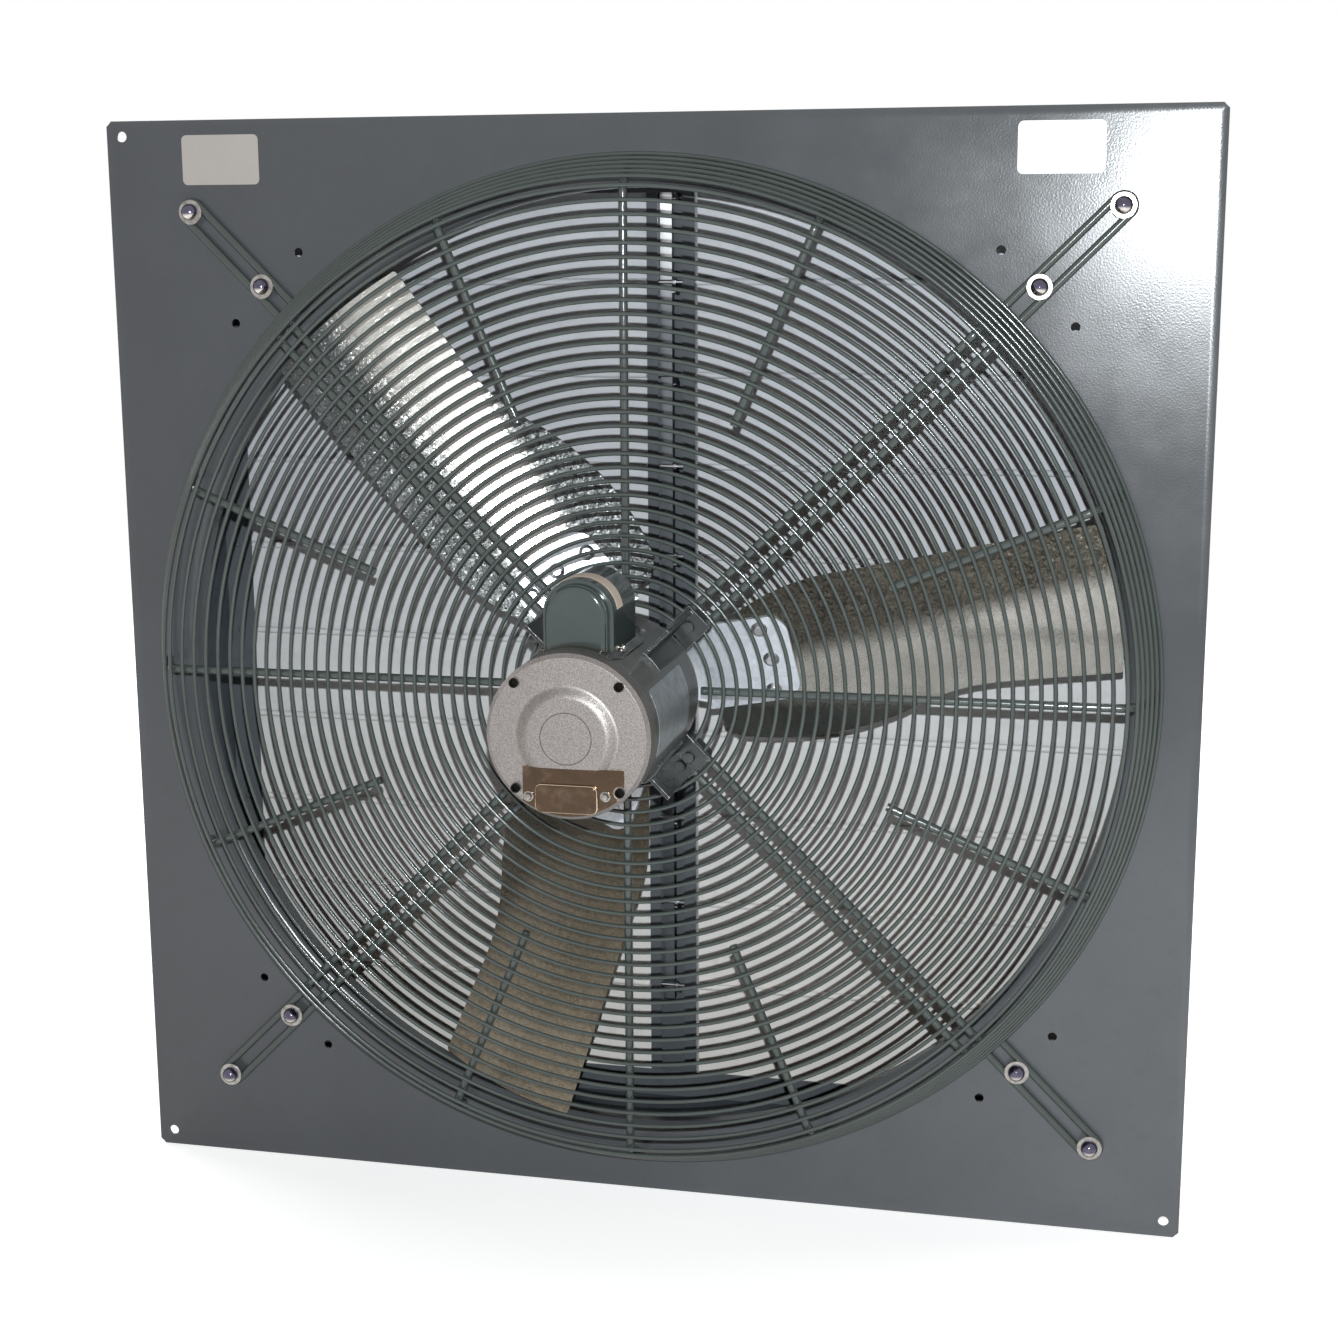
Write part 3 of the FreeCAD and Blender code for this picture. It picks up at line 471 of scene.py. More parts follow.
def sticker(name, left, right, low, high, corner, rise, place):
    """Thin sheet with rounded corners, laid on a surface that place() gives from two lengths and a height."""
    steps = [k * math.pi / 12 for k in range(7)]
    rounding = [(corner * (1 - math.cos(t)), rise * (1 - math.sin(t))) for t in steps]
    columns = [(left + run, drop) for run, drop in rounding]
    middle = 16
    for k in range(1, middle):
        columns.append((left + corner + (right - left - 2 * corner) * k / middle, 0.0))
    columns += [(right - run, drop) for run, drop in reversed(rounding)]
    form = bmesh.new()
    rows = []
    for along, drop in columns:
        bottom = low + drop
        top = high - drop
        ends = [(bottom, film_thickness), (top, film_thickness), (top, 0.0), (bottom, 0.0)]
        rows.append([form.verts.new(place(along, across, height)) for across, height in ends])
    for first, second in zip(rows, rows[1:]):
        for k in range(4):
            form.faces.new((first[k], first[(k + 1) % 4], second[(k + 1) % 4], second[k]))
    form.faces.new(rows[0])
    form.faces.new(rows[-1])
    bmesh.ops.recalc_face_normals(form, faces=form.faces)
    return bpy.data.objects.new(name, meshed(name, form))


def on_panel(along, across, height):
    """Point on the panel's front face, or a height in front of it."""
    return (along, panel_front - height, across)


paper_finish = painted("paper_finish", tint(180, 173, 168), shade=0.04, grime=0.1, gloss=0.55,
                       peel_scale=700.0, relief=0.00002)
# Painted highlight: the film's tint is whiter than the paper's.
film_finish = painted("film_finish", tint(226, 225, 223), shade=0.02, grime=0.04, gloss=0.4,
                      peel_scale=700.0, relief=0.00002)
for name, left, right, low, high, material in (
    ("left_label", -0.452, -0.373, 0.468, 0.515, paper_finish),
    ("right_label", 0.348, 0.425, 0.470, 0.516, film_finish),
):
    label = sticker(name, left, right, low, high, corner=0.005, rise=0.005, place=on_panel)
    label.data.materials.append(material)
    show(label, "housing", "panel_paint")

# Propeller: three twisted blades of galvanised sheet on a stamped spider with a turned hub.
# The zinc shows its fine frozen crystals; two blades are worn smooth along the middle, where a painted
# highlight makes them paler, and the lowest one is browner, with painted shade towards its root.
spangle, given = effect("zinc_spangle", ["Light", "Dark"], ["Crystal Scale", "Lean", "Gloss"])
place = placed(spangle)
wander = add(spangle, "ShaderNodeTexNoise", {"Vector": place, "Scale": 160.0, "Detail": 2.0})
push = (0.006, 0.006, 0.006)
pushed = vector_calc(spangle, "MULTIPLY_ADD", wander.outputs["Color"], push, place)
crystals = add(spangle, "ShaderNodeTexVoronoi", {"Vector": pushed, "Scale": given["Crystal Scale"]}).outputs
cell = add(spangle, "ShaderNodeSeparateColor", (crystals["Color"],)).outputs
stain = noise(spangle, place, scale=14.0, detail=5.0, roughness=0.6)
stain_share = 0.9
stain_start = -0.2
crystal_share = 0.55
stained = calc(spangle, "MULTIPLY_ADD", stain, stain_share, stain_start)
frost = calc(spangle, "MULTIPLY_ADD", cell[0], crystal_share, stained, use_clamp=True)
inside = vector_calc(spangle, "SUBTRACT", pushed, crystals["Position"])
middle_grey = (0.5, 0.5, 0.5)
facing = vector_calc(spangle, "SUBTRACT", crystals["Color"], middle_grey)
slope = vector_calc(spangle, "DOT_PRODUCT", inside, facing)
gloss_spread = 0.16
complete(
    spangle,
    mixed(spangle, frost, given["Dark"], given["Light"]),
    calc(spangle, "MULTIPLY_ADD", cell[1], gloss_spread, given["Gloss"]),
    calc(spangle, "MULTIPLY", slope, given["Lean"]),
)


def galvanised(name, light, dark, crystal_scale, lean, gloss, metallic):
    """Hot-dip zinc finish from the shared crystals."""
    values = {"Light": light, "Dark": dark, "Crystal Scale": crystal_scale, "Lean": lean, "Gloss": gloss}
    return coated(name, spangle, values, 1.0, {"Metallic": metallic})


def noted(tree, name):
    """Value that was written on a mesh's points."""
    return add(tree, "ShaderNodeAttribute", attribute_name=name).outputs["Fac"]


def bladed(name, light, dark, lean, wear_glare_from, wear_glare_to, wear_and_glare, trail_to, root_dark, root_shade):
    """Zinc blade finish, worn smooth over the middle of its chord with a painted highlight there, and darker
    towards the root with painted shade.
    """
    material = galvanised(name, light, dark, crystal_scale=420.0, lean=lean, gloss=0.3, metallic=0.8)
    tree = material.node_tree
    shader = tree.nodes["Principled BSDF"].inputs
    soft = {"interpolation_type": "SMOOTHSTEP"}
    soft_edge = 0.025
    root_reach = 0.16
    full_reach = 0.38
    worn_gloss = 0.2
    # The band over the middle of the chord is smoother, and its pale colour is a painted highlight.
    wear_glare_across = ranged(tree, noted(tree, "chord"), wear_glare_from, wear_glare_to, 0.0, wear_and_glare, **soft)
    kept = ranged(tree, noted(tree, "trail"), trail_to - soft_edge, trail_to, **soft)
    worn = calc(tree, "MULTIPLY", wear_glare_across, kept)
    smears = noise(tree, placed(tree), scale=24.0, detail=4.0, roughness=0.55)
    glare_zinc = mixed(tree, ranged(tree, smears, 0.32, 0.68), tint(160, 158, 152), tint(186, 184, 178))
    # Painted shade: the colour darkens towards the root.
    shade = ranged(tree, noted(tree, "reach"), root_reach, full_reach, root_shade, 1.0)
    tree.links.new(shaded(tree, tree.nodes["skin"].outputs["Colour"], shade), shader["Base Color"])
    overlay(material, worn, glare_zinc)
    # A dark band on the root's low-trail side; on the lowest blade it is painted shade.
    root = ranged(tree, kept, 0.0, 1.0, root_dark, 0.0)
    overlay(material, root, tint(62, 65, 63))
    even = calc(tree, "MAXIMUM", worn, root)
    sheen = add(tree, "ShaderNodeMix", {0: even, 2: tree.nodes["skin"].outputs["Roughness"], 3: worn_gloss})
    tree.links.new(sheen.outputs[0], shader["Roughness"])
    crystals_left = calc(tree, "SUBTRACT", 1.0, even)
    height = calc(tree, "MULTIPLY", tree.nodes["skin"].outputs["Height"], crystals_left)
    tree.links.new(height, tree.nodes["relief"].inputs["Height"])
    return material


# The three blade finishes are lit and shaded copies of one zinc: their tints and bands are set as the light
# falls on each blade.
blade_finishes = [
    bladed("blade_finish_1", tint(102, 98, 88), tint(22, 20, 16),
           lean=0.3, wear_glare_from=0.010, wear_glare_to=-0.016, wear_and_glare=0.82,
           trail_to=-0.040, root_dark=0.8, root_shade=1.0),
    bladed("blade_finish_2", tint(104, 106, 106), tint(22, 22, 21),
           lean=0.3, wear_glare_from=0.034, wear_glare_to=-0.006, wear_and_glare=0.95,
           trail_to=-0.020, root_dark=0.0, root_shade=1.0),
    bladed("blade_finish_3", tint(150, 140, 122), tint(98, 90, 76),
           lean=0.12, wear_glare_from=0.034, wear_glare_to=-0.006, wear_and_glare=0.05,
           trail_to=-0.02, root_dark=0.45, root_shade=0.42),
]
wear_glare_slants = (-0.08, 0.07, 0.0)
wear_glare_pivot = 0.2
trail_slant = 0.19
trail_pivot = 0.14
first_heading = 12
heading_step = 120
for k in range(3):
    blade_node = "propeller_blade_" + str(k + 1)
    blade = dressed(blade_node, "propeller", blade_finishes[k], "galvanised_sheet", easing=0.0004)
    heading = math.radians(first_heading + heading_step * k)
    chords = [v.co.z * math.cos(heading) - v.co.x * math.sin(heading) for v in blade.data.vertices]
    reaches = [v.co.x * math.cos(heading) + v.co.z * math.sin(heading) for v in blade.data.vertices]
    spots = list(zip(chords, reaches))
    note(blade.data, "chord", [chord + wear_glare_slants[k] * (reach - wear_glare_pivot) for chord, reach in spots])
    note(blade.data, "trail", [chord + trail_slant * (reach - trail_pivot) for chord, reach in spots])
    note(blade.data, "reach", reaches)
spider_finish = galvanised("spider_finish", tint(236, 241, 248), tint(204, 209, 216), crystal_scale=220.0,
                           lean=0.05, gloss=0.34, metallic=0.7)
dressed("propeller_spider", "propeller", spider_finish, "zinc_plate", easing=0.0005)
hub_finish = plated("hub_finish", tint(120, 116, 110), metallic=0.9, marks=0.4, polish=0.42,
                    grain_scale=500.0, relief=0.00004)
dressed("propeller_hub", "propeller", hub_finish, "hub_iron", easing=0.0004)
dressed("blade_rivets", "propeller", zinc_finish, "zinc_plate", easing=0.0004)
shaft_finish = plated("shaft_finish", tint(170, 168, 164), metallic=1.0, marks=0.2, polish=0.2,
                      grain_scale=900.0, relief=0.00001)
dressed("motor_shaft", "propeller", shaft_finish, "bright_steel", easing=0.0004)

# Wire guard: rings of drawn wire spot-welded across bent rods, dipped in grey-green enamel.
# Four legs are one rod each, bent double, with a loop that lies flat on the panel.
guard_finish = painted("guard_finish", tint(68, 76, 73), shade=0.1, grime=0.3, gloss=0.16,
                       peel_scale=500.0, relief=0.00004)


def drawn(tree, curves, sides, radius, material):
    """End a geometry node tree with round wire along curves, in a finish."""
    even = add(tree, "GeometryNodeSetCurveRadius", {"Curve": curves, "Radius": 1.0})
    section = add(tree, "GeometryNodeCurvePrimitiveCircle", {"Resolution": sides, "Radius": radius})
    wire = add(tree, "GeometryNodeCurveToMesh", {
        "Curve": even.outputs[0], "Profile Curve": section.outputs[0], "Fill Caps": True,
    })
    smooth = add(tree, "GeometryNodeSetShadeSmooth", (wire.outputs[0],))
    hand_out(tree, smooth.outputs[0], material)


rings_tree, given = geometry_tree("wire_rings", {
    "Rings": "Int", "First Radius": "Float", "Radius Step": "Float", "First Depth": "Float",
    "Depth Step": "Float", "Wire Radius": "Float", "Finish": "Material",
})
order = add(rings_tree, "GeometryNodeInputIndex").outputs[0]
reach = calc(rings_tree, "MULTIPLY_ADD", order, given["Radius Step"], given["First Radius"])
depth = calc(rings_tree, "MULTIPLY_ADD", order, given["Depth Step"], given["First Depth"])
centre = add(rings_tree, "ShaderNodeCombineXYZ", {"Y": depth})
centres = add(rings_tree, "GeometryNodePoints", {"Count": given["Rings"], "Position": centre.outputs[0]})
hoop = add(rings_tree, "GeometryNodeCurvePrimitiveCircle", {"Resolution": 180, "Radius": 1.0})
hoops = add(rings_tree, "GeometryNodeInstanceOnPoints", {
    "Points": centres.outputs[0], "Instance": hoop.outputs[0], "Rotation": (math.pi / 2, 0.0, 0.0),
    "Scale": reach,
})
loose = add(rings_tree, "GeometryNodeRealizeInstances", (hoops.outputs[0],))
drawn(rings_tree, loose.outputs[0], sides=8, radius=given["Wire Radius"], material=given["Finish"])

ring_count = 31
first_ring = 0.0816
ring_pitch = 0.0127
ring_plane = -0.06122
for name, node, count, radius, radius_step, ring_depth, depth_step in (
    ("face_rings", "guard_front_rings", ring_count, first_ring, ring_pitch, ring_plane, 0.0),
    ("side_rings", "guard_side_rings", 6, 0.4708, 0.004204, -0.056, 0.0082),
):
    rings = grown(name, path_mesh(name, [(0, 0, 0)]), rings_tree, {
        "Rings": count, "First Radius": radius, "Radius Step": radius_step, "First Depth": ring_depth,
        "Depth Step": depth_step, "Wire Radius": 0.002, "Finish": guard_finish,
    })
    show(rings, "housing", "guard_paint", node)

rods_tree, given = geometry_tree("bent_rods", {
    "Rods": "Int", "First Angle": "Float", "Angle Step": "Float", "Rod Radius": "Float", "Finish": "Material",
})
line = add(rods_tree, "GeometryNodeMeshToCurve", (given["Geometry"],))
bend = add(rods_tree, "GeometryNodeInputNamedAttribute", {"Name": "bend"}, data_type="FLOAT")
bent = add(rods_tree, "GeometryNodeFilletCurve", {
    "Curve": line.outputs[0], "Count": 10, "Radius": bend.outputs[0], "Limit Radius": True,
}, mode="POLY")
order = add(rods_tree, "GeometryNodeInputIndex").outputs[0]
turn = calc(rods_tree, "MULTIPLY_ADD", order, given["Angle Step"], given["First Angle"])
spin = add(rods_tree, "ShaderNodeCombineXYZ", {"Y": calc(rods_tree, "MULTIPLY", turn, -1.0)})
hubs = add(rods_tree, "GeometryNodePoints", {"Count": given["Rods"]})
fan_out = add(rods_tree, "GeometryNodeInstanceOnPoints", {
    "Points": hubs.outputs[0], "Instance": bent.outputs[0], "Rotation": spin.outputs[0],
})
loose = add(rods_tree, "GeometryNodeRealizeInstances", (fan_out.outputs[0],))
drawn(rods_tree, loose.outputs[0], sides=14, radius=given["Rod Radius"], material=given["Finish"])

rod_plane = -0.0554
rim_radius = 0.46456
rim_bend = 0.014
foot_bend = 0.007
long_inner = 0.072
short_inner = 0.268
leg_inner = 0.076
leg_spread = 0.0094
leg_y = -0.00597
leg_foot = 0.4899
loop_end = 0.6347
eighth = 2 * math.pi / 8
long_start = (long_inner, rod_plane, 0.0)
short_start = (short_inner, rod_plane, 0.0)
spoke_foot = (0.48886, -0.008, 0.0)
spoke_end = [(rim_radius, rod_plane, 0.0), spoke_foot]
spoke_bends = [0.0, rim_bend, 0.0]
half_leg = [
    (leg_inner, rod_plane, leg_spread), (rim_radius, rod_plane, leg_spread),
    (leg_foot, leg_y, leg_spread), (loop_end, leg_y, leg_spread),
]
other_half = [(x, y, -z) for x, y, z in reversed(half_leg)]
leg_bends = [0.0, rim_bend, foot_bend, leg_spread, leg_spread, foot_bend, rim_bend, 0.0]
for name, node, count, first_angle, angle_step, points, bends in (
    ("long_spokes", "guard_long_spokes", 4, 0.0, 2 * eighth, [long_start] + spoke_end, spoke_bends),
    ("short_spokes", "guard_short_spokes", 8, eighth / 2, eighth, [short_start] + spoke_end, spoke_bends),
    ("guard_rod_legs", "guard_legs", 4, eighth, 2 * eighth, half_leg + other_half, leg_bends),
):
    rods = grown(name, path_mesh(name, points, bends), rods_tree, {
        "Rods": count, "First Angle": first_angle, "Angle Step": angle_step, "Rod Radius": 0.00397,
        "Finish": guard_finish,
    })
    show(rods, "housing", "guard_paint", node)

# Spot welds: a small squeezed bead of metal wherever a ring crosses a rod.
# They carry the same enamel as the wires.
welds_tree, given = geometry_tree("spot_welds", {"Bead Radius": "Float", "Finish": "Material"})
bead = add(welds_tree, "GeometryNodeMeshIcoSphere", {"Radius": given["Bead Radius"], "Subdivisions": 1})
beads = add(welds_tree, "GeometryNodeInstanceOnPoints", {
    "Points": given["Geometry"], "Instance": bead.outputs[0],
})
loose = add(welds_tree, "GeometryNodeRealizeInstances", (beads.outputs[0],))
smooth = add(welds_tree, "GeometryNodeSetShadeSmooth", (loose.outputs[0],))
hand_out(welds_tree, smooth.outputs[0], given["Finish"])

# Of the sixteen headings every fourth has a long spoke, the one halfway has a leg's two rods,
# and the others have a short spoke.
weld_plane = -0.0594
weld_places = []
for ring in range(ring_count):
    ring_radius = first_ring + ring_pitch * ring
    along = math.sqrt(ring_radius ** 2 - leg_spread ** 2)
    for k in range(16):
        angle = k * eighth / 2
        if k % 4 == 0:
            crossings = [(ring_radius, 0.0)]
        elif k % 4 == 2:
            crossings = [(along, leg_spread), (along, -leg_spread)]
        else:
            crossings = [(ring_radius, 0.0)] if ring_radius > short_inner else []
        for out, aside in crossings:
            x = out * math.cos(angle) - aside * math.sin(angle)
            z = out * math.sin(angle) + aside * math.cos(angle)
            weld_places.append((x, weld_plane, z))
welds = grown("spot_welds", path_mesh("spot_welds", weld_places), welds_tree, {
    "Bead Radius": 0.0027, "Finish": guard_finish,
})
show(welds, "housing", "guard_paint")

# Guard bolts: chromed dome-head bolts through wide bright washers, with a hexagon nut behind the panel.
# One at the foot of each leg and one in its loop; the domes carry a painted reflection, dark above and bright
# below.


def on_diagonals(*distances):
    """Points on the four diagonals, at the given distances from the fan's axis."""
    places = []
    for k in range(4):
        angle = eighth + 2 * eighth * k
        for out in distances:
            places.append((out * math.cos(angle), 0.0, out * math.sin(angle)))
    return places


# Painted reflection: the chrome is a dark blue-grey, turned pale over the lower half of each dome.
chrome_finish = plated("chrome_finish", tint(96, 93, 112), metallic=1.0, marks=0.6, polish=0.09,
                       grain_scale=600.0, relief=0.000005, mark_scale=130.0)
tree = chrome_finish.node_tree
overlay(chrome_finish, ranged(tree, noted(tree, "fall"), -0.1, -0.45, 0.0, 0.9), tint(208, 202, 196))
bolt_places = on_diagonals(0.525, 0.6253)
washer_front = -0.01194
washer_back = -0.00994
dome_radius = 0.0082
dome_rise = 0.008
dome_turns = [k * math.pi / 20 for k in range(11)]
dome = [(dome_radius * math.sin(t), washer_front - dome_rise * math.cos(t)) for t in dome_turns]
stem = [
    (0.004, washer_front), (0.004, 0.0), (0.0066, 0.0), (0.0075, 0.0005, "hexagon"),
    (0.0075, 0.006, "hexagon"), (0.0066, 0.0065), (0.004, 0.0065), (0.004, 0.0091),
    (0.0034, 0.0095), (0.0, 0.0095),
]
dome_bolt = lathe("dome_bolt", dome + stem, sides=24)
note(dome_bolt.data, "fall", [v.co.z / dome_radius for v in dome_bolt.data.vertices])
bolts = set_of("dome_bolts", dome_bolt, bolt_places, chrome_finish)
show(bolts, "housing", "bright_steel", "guard_bolts")
washer = [
    (0.0042, washer_front), (0.0113, washer_front), (0.0118, -0.0115), (0.0118, -0.0103),
    (0.0113, washer_back), (0.0042, washer_back), (0.0042, washer_front),
]
washer_finish = plated("washer_finish", tint(168, 164, 160), metallic=1.0, marks=0.7, polish=0.26,
                       grain_scale=600.0, relief=0.00001, mark_scale=160.0)
washers = set_of("wide_washers", lathe("wide_washer", washer, sides=36), bolt_places, washer_finish)
show(washers, "housing", "bright_steel", "guard_washers")

# Motor: rolled shell between two cast bells, in dark enamel; the rear bell is bare sand-finished aluminium.
# Its laminated core, windings and bearings are closed in, and a blank foil label is stuck on the shell.


def off_axis(tree, place):
    """Distance of a point from the fan's axis."""
    return vector_calc(tree, "LENGTH", vector_calc(tree, "MULTIPLY", place, (1.0, 0.0, 1.0)))


shell_finish = painted("shell_finish", tint(78, 80, 77), shade=0.12, grime=0.35, gloss=0.3,
                       peel_scale=420.0, relief=0.00005)
dressed("motor_shell", "housing", shell_finish, "motor_paint", easing=0.0004)
bell_finish = plated("bell_finish", tint(133, 128, 125), metallic=1.0, marks=0.2, polish=0.42,
                     grain_scale=900.0, relief=0.0002)
tree = bell_finish.node_tree
place = placed(tree)
sand = noise(tree, place, scale=900.0, detail=2.0)
grains = mixed(tree, ranged(tree, sand, 0.36, 0.64), tint(90, 85, 82), tint(152, 147, 144))
sand_strength = 0.4
overlay(bell_finish, sand_strength, grains)
seam_radius = 0.0225
seam_gap = calc(tree, "ABSOLUTE", calc(tree, "SUBTRACT", off_axis(tree, place), seam_radius))
overlay(bell_finish, ranged(tree, seam_gap, 0.0002, 0.0006, 0.75, 0.0), tint(44, 40, 38))
dressed("motor_rear_bell", "housing", bell_finish, "cast_aluminium", easing=0.0006)
dressed("motor_drive_bell", "housing", shell_finish, "motor_paint", easing=0.0006)
black_finish = plated("black_finish", tint(22, 21, 20), metallic=1.0, marks=0.15, polish=0.4,
                      grain_scale=800.0, relief=0.00002)
bell_face = -0.2685
through_bolt = [
    (0.0, bell_face), (0.0024, bell_face, "hexagon"), (0.0026, -0.2705, "hexagon"), (0.0036, -0.2705),
    (0.0042, -0.2700), (0.0042, -0.267), (0.0025, -0.267), (0.0025, -0.071), (0.0, -0.071),
]
through_places = on_diagonals(0.065)
through_form = lathe("socket_head_bolt", through_bolt, sides=24)
through_bolts = set_of("socket_head_bolts", through_form, through_places, black_finish)
show(through_bolts, "housing", "black_steel", "motor_through_bolts")
core_finish = plated("core_finish", tint(96, 92, 88), metallic=0.8, marks=0.4, polish=0.5,
                     grain_scale=400.0, relief=0.00004)
dressed("stator_core", "housing", core_finish, "core_steel", easing=0.0)
dressed("rotor_core", "propeller", core_finish, "core_steel", easing=0.0)
copper_finish = plated("copper_finish", tint(150, 84, 48), metallic=0.7, marks=0.35, polish=0.38,
                       grain_scale=600.0, relief=0.0001)
dressed("stator_windings", "housing", copper_finish, "copper_wire", easing=0.0006)
bearing_finish = plated("bearing_finish", tint(186, 186, 184), metallic=1.0, marks=0.15, polish=0.2,
                        grain_scale=900.0, relief=0.00001)
dressed("motor_bearings", "housing", bearing_finish, "bearing_steel", easing=0.0003)
shell_radius = 0.0725


def on_shell(angle, along, height):
    """Point on the motor shell, or a height outside it."""
    reach = shell_radius + height
    return (reach * math.cos(angle), along, reach * math.sin(angle))


foil_finish = plated("foil_finish", tint(178, 184, 188), metallic=0.9, marks=0.4, polish=0.36,
                     grain_scale=900.0, relief=0.00001, mark_scale=90.0)
foil_label = sticker("foil_label", left=-0.32, right=0.52, low=-0.232, high=-0.112,
                     corner=0.05, rise=0.004, place=on_shell)
foil_label.data.materials.append(foil_finish)
show(foil_label, "housing", "bright_steel")

# Terminal cover: a small pressed plate with a raised middle, held by two screws on the rear bell.
# Bright steel whose brown colour is a painted reflection, with painted highlights that make its edges pale.
# Painted reflection: the plate's brown base colour.
plate_finish = plated("plate_finish", tint(82, 67, 55), metallic=1.0, marks=0.7, polish=0.14,
                      grain_scale=300.0, relief=0.00002, mark_scale=60.0)
tree = plate_finish.node_tree
smear = noise(tree, placed(tree), scale=70.0, detail=5.0, roughness=0.6)
overlay(plate_finish, ranged(tree, smear, 0.5, 0.72, 0.0, 0.35), tint(128, 112, 98))
# Painted highlight: pale gold where the plate's faces turn away from the front.
overlay(plate_finish, ranged(tree, noted(tree, "rim"), 0.1, 0.26, 0.0, 0.9), tint(224, 206, 178))
plate = dressed("terminal_cover", "housing", plate_finish, "zinc_plate", easing=0.0006)
note(plate.data, "rim", [1.0 - abs(v.normal.y) for v in plate.data.vertices])
screw_finish = plated("screw_finish", tint(150, 146, 140), metallic=1.0, marks=0.8, polish=0.16,
                      grain_scale=700.0, relief=0.00001, mark_scale=260.0)
screw = [
    (0.0, -0.0034), (0.0026, -0.0032), (0.0031, -0.0028, "hexagon"), (0.0034, -0.0009, "hexagon"),
    (0.0046, -0.0008), (0.0046, 0.0), (0.0018, 0.0), (0.0018, 0.004), (0.0, 0.004),
]
screw_places = [(-0.0345, bell_face, -0.0525), (0.0335, bell_face, -0.0495)]
plate_screws = set_of("plate_screws", lathe("plate_screw", screw, sides=24), screw_places, screw_finish)
show(plate_screws, "housing", "bright_steel")

# Capacitor housing: a deep-drawn, stepped cover on a saddle plate, with a pale strap over its arch.
# Blue-green enamel, dulled on the saddle; the capacitor itself is a dark can inside.
cover_finish = painted("cover_finish", tint(60, 69, 68), shade=0.06, grime=0.18, gloss=0.12,
                       peel_scale=300.0, relief=0.00003)
tree = cover_finish.node_tree
overlay(cover_finish, ranged(tree, off_axis(tree, placed(tree)), 0.0745, 0.0775, 0.7, 0.0), tint(52, 50, 44))
dressed("capacitor_cover", "housing", cover_finish, "motor_paint", easing=0.0006)
saddle_radius = 0.074
saddle_screw_y = -0.203
saddle_lean = math.radians(26.5)
for name, side in (("right_saddle_screw", 1), ("left_saddle_screw", -1)):
    lean = saddle_lean * side
    seat = (saddle_radius * math.sin(lean), saddle_screw_y, saddle_radius * math.cos(lean))
    screw_form = lathe(name + "_form", screw, sides=24)
    saddle_screw = set_of(name, screw_form, [seat], screw_finish, turn=(-math.pi / 2, lean, 0.0))
    show(saddle_screw, "housing", "bright_steel")
strap_finish = painted("strap_finish", tint(218, 202, 186), shade=0.06, grime=0.12, gloss=0.5,
                       peel_scale=300.0, relief=0.00003)
dressed("capacitor_strap", "housing", strap_finish, "strap_plastic", easing=0.0004)
can_finish = plated("can_finish", tint(80, 82, 82), metallic=0.3, marks=0.2, polish=0.4,
                    grain_scale=500.0, relief=0.00002)
dressed("start_capacitor", "housing", can_finish, "capacitor_case", easing=0.0008)

# Motor brackets: four folded steel brackets that clamp the shell to the guard legs with plates and bolts.
# Dark enamel over the bolts too, with bright bare metal along the brackets' edges as painted edge highlights.
bracket_finish = painted("bracket_finish", tint(40, 43, 43), shade=0.1, grime=0.3, gloss=0.3,
                         peel_scale=420.0, relief=0.00004, shine=0.35)
# Painted highlight: bright bare metal on the brackets' eased edges.
rubbed_finish = plated("rubbed_finish", tint(206, 208, 208), metallic=1.0, marks=0.5, polish=0.28,
                       grain_scale=600.0, relief=0.00001)
dressed("motor_brackets", "housing", bracket_finish, "motor_paint", easing=0.0009, edge=rubbed_finish)
dressed("guard_pads", "housing", bracket_finish, "motor_paint", easing=0.0004)
dressed("clamp_bolts", "housing", bracket_finish, "zinc_plate", easing=0.0006)

# Floor and light: a plain pale floor that runs out to white, a small soft lamp just above the lens,
# wide ones behind and at both sides of the sleeve, and an even white surround, a little warm in the shadows.


def seen_straight(tree):
    """1 for what the lens sees, also mirrored or through a clear piece, and 0 for what only lights a piece."""
    ray = add(tree, "ShaderNodeLightPath").outputs
    direct = calc(tree, "MAXIMUM", ray["Is Camera Ray"], ray["Is Glossy Ray"])
    return calc(tree, "MAXIMUM", direct, ray["Is Transmission Ray"])


def lamp(name, size, power, stand):
    """Area lamp that shines along its stand."""
    data = bpy.data.lights.new(name, "AREA")
    data.size = size
    data.energy = power
    placed_lamp = bpy.data.objects.new(name, data)
    placed_lamp.matrix_world = stand
    scene.collection.objects.link(placed_lamp)
    return placed_lamp


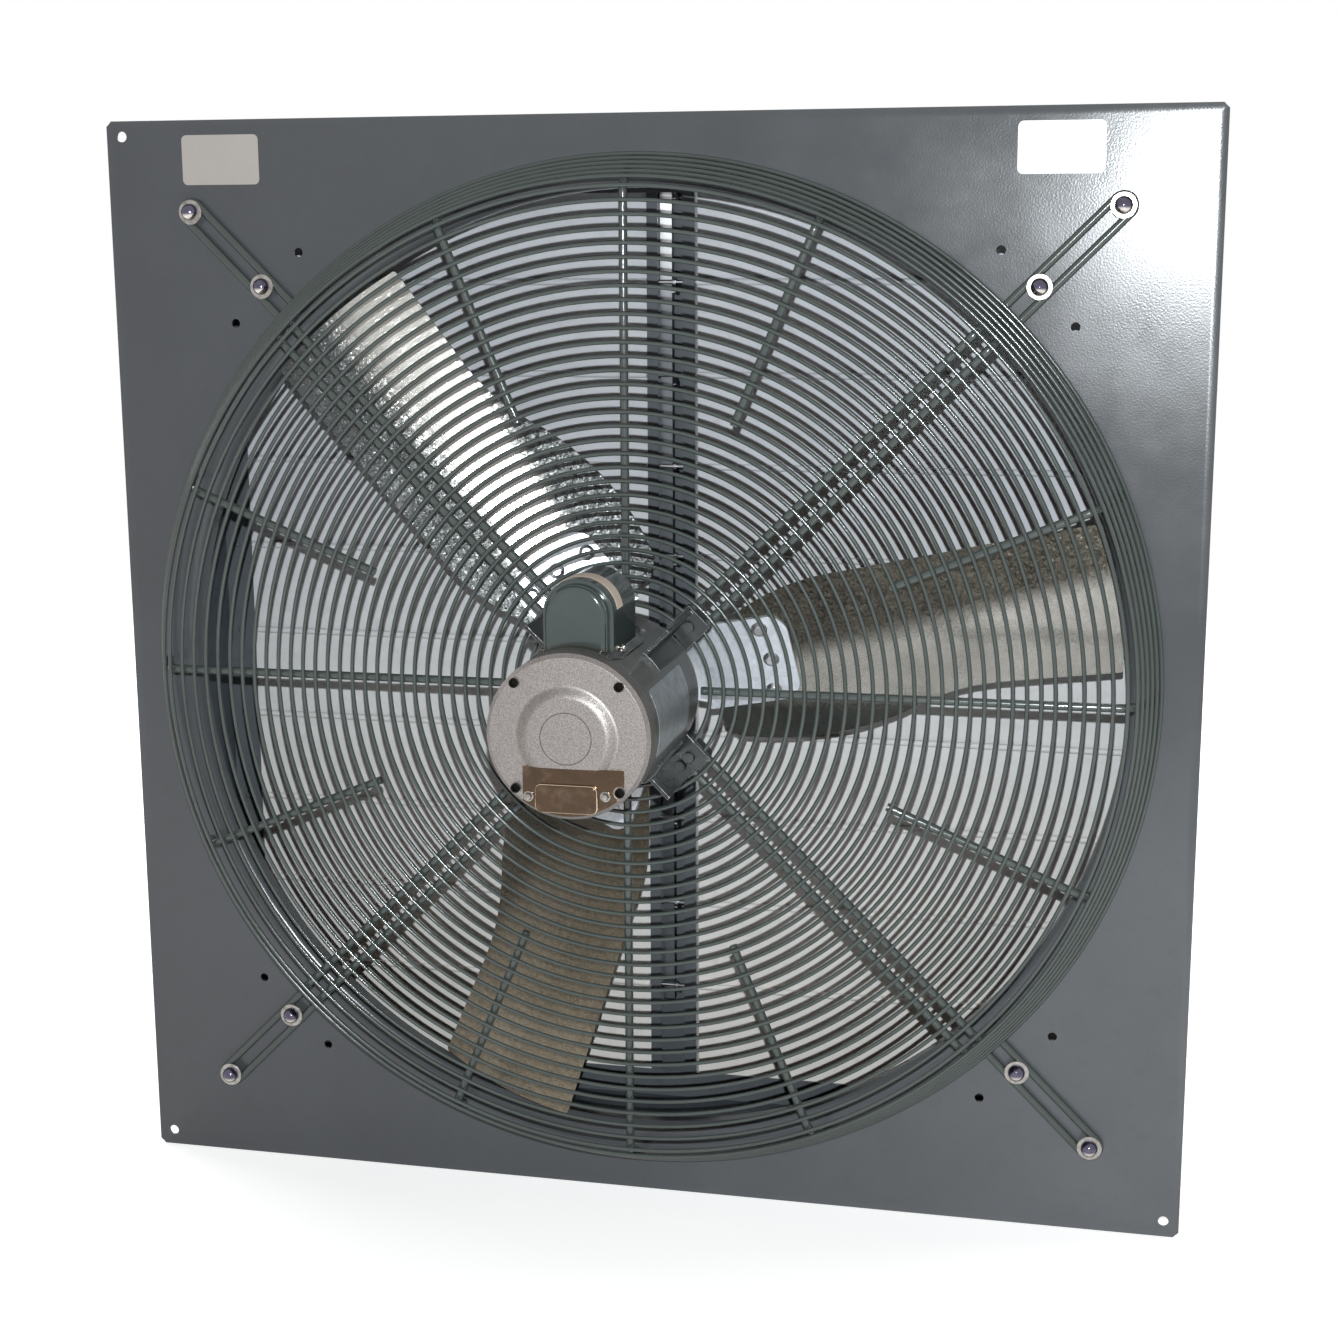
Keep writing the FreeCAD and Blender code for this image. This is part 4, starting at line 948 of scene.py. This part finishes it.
floor_size = 12.0
floor_gap = 0.0005
floor_level = cad_box[0][2] - floor_gap
floor_sides = ((-1, -1), (1, -1), (1, 1), (-1, 1))
floor_corners = [(x * floor_size, y * floor_size, floor_level) for x, y in floor_sides]
floor_mesh = bpy.data.meshes.new("floor")
floor_mesh.from_pydata(floor_corners, [], [(0, 1, 2, 3)])
floor = bpy.data.objects.new("floor", floor_mesh)
scene.collection.objects.link(floor)
floor_finish = bpy.data.materials.new("floor_finish")
floor_finish.use_nodes = True
tree = floor_finish.node_tree
tree.nodes.remove(tree.nodes["Principled BSDF"])
matt = add(tree, "ShaderNodeBsdfDiffuse", {"Color": (0.86, 0.86, 0.86, 1.0)})
fade = ranged(tree, vector_calc(tree, "LENGTH", placed(tree)), 0.6, 1.6, 0.55, 1.0)
glow = add(tree, "ShaderNodeEmission", {"Strength": calc(tree, "MULTIPLY", seen_straight(tree), fade)})
both = add(tree, "ShaderNodeAddShader", (matt.outputs[0], glow.outputs[0]))
tree.links.new(both.outputs[0], tree.nodes["Material Output"].inputs["Surface"])
floor_mesh.materials.append(floor_finish)

above_lens = 0.099
lamp_stand = stand.copy()
lamp_stand.translation = stand.translation + look_up * above_lens
soft_lamp = lamp("soft_lamp", size=0.014, power=39.0, stand=lamp_stand)
soft_lamp.data.shape = "DISK"
soft_lamp.data.color = (0.91, 0.965, 1.0)

back_stand = Matrix.Rotation(math.pi, 4, "Z") @ Matrix.Rotation(math.radians(65), 4, "X")
back_stand.translation = Vector((-0.6, 3.0, 1.4))
lamp("back_lamp", size=2.0, power=70.0, stand=back_stand)

for side in (-1, 1):
    side_place = Vector((side * 2.1, 0.9, 0.9))
    side_aim = Vector((side * 0.5, 0.1, 0.0)) - side_place
    side_stand = side_aim.to_track_quat("-Z", "Y").to_matrix().to_4x4()
    side_stand.translation = side_place
    lamp("side_lamp", size=1.0, power=18.0, stand=side_stand).visible_camera = False

surround = bpy.data.worlds.new("white_surround")
surround.use_nodes = True
scene.world = surround
tree = surround.node_tree
straight = seen_straight(tree)
shadow_level = 0.06
shadow_hue = (1.0, 0.6, 0.28, 1.0)
backdrop = tree.nodes["Background"].inputs
tree.links.new(mixed(tree, straight, shadow_hue, (1.0, 1.0, 1.0, 1.0)), backdrop["Color"])
tree.links.new(ranged(tree, straight, 0.0, 1.0, shadow_level, 1.0), backdrop["Strength"])
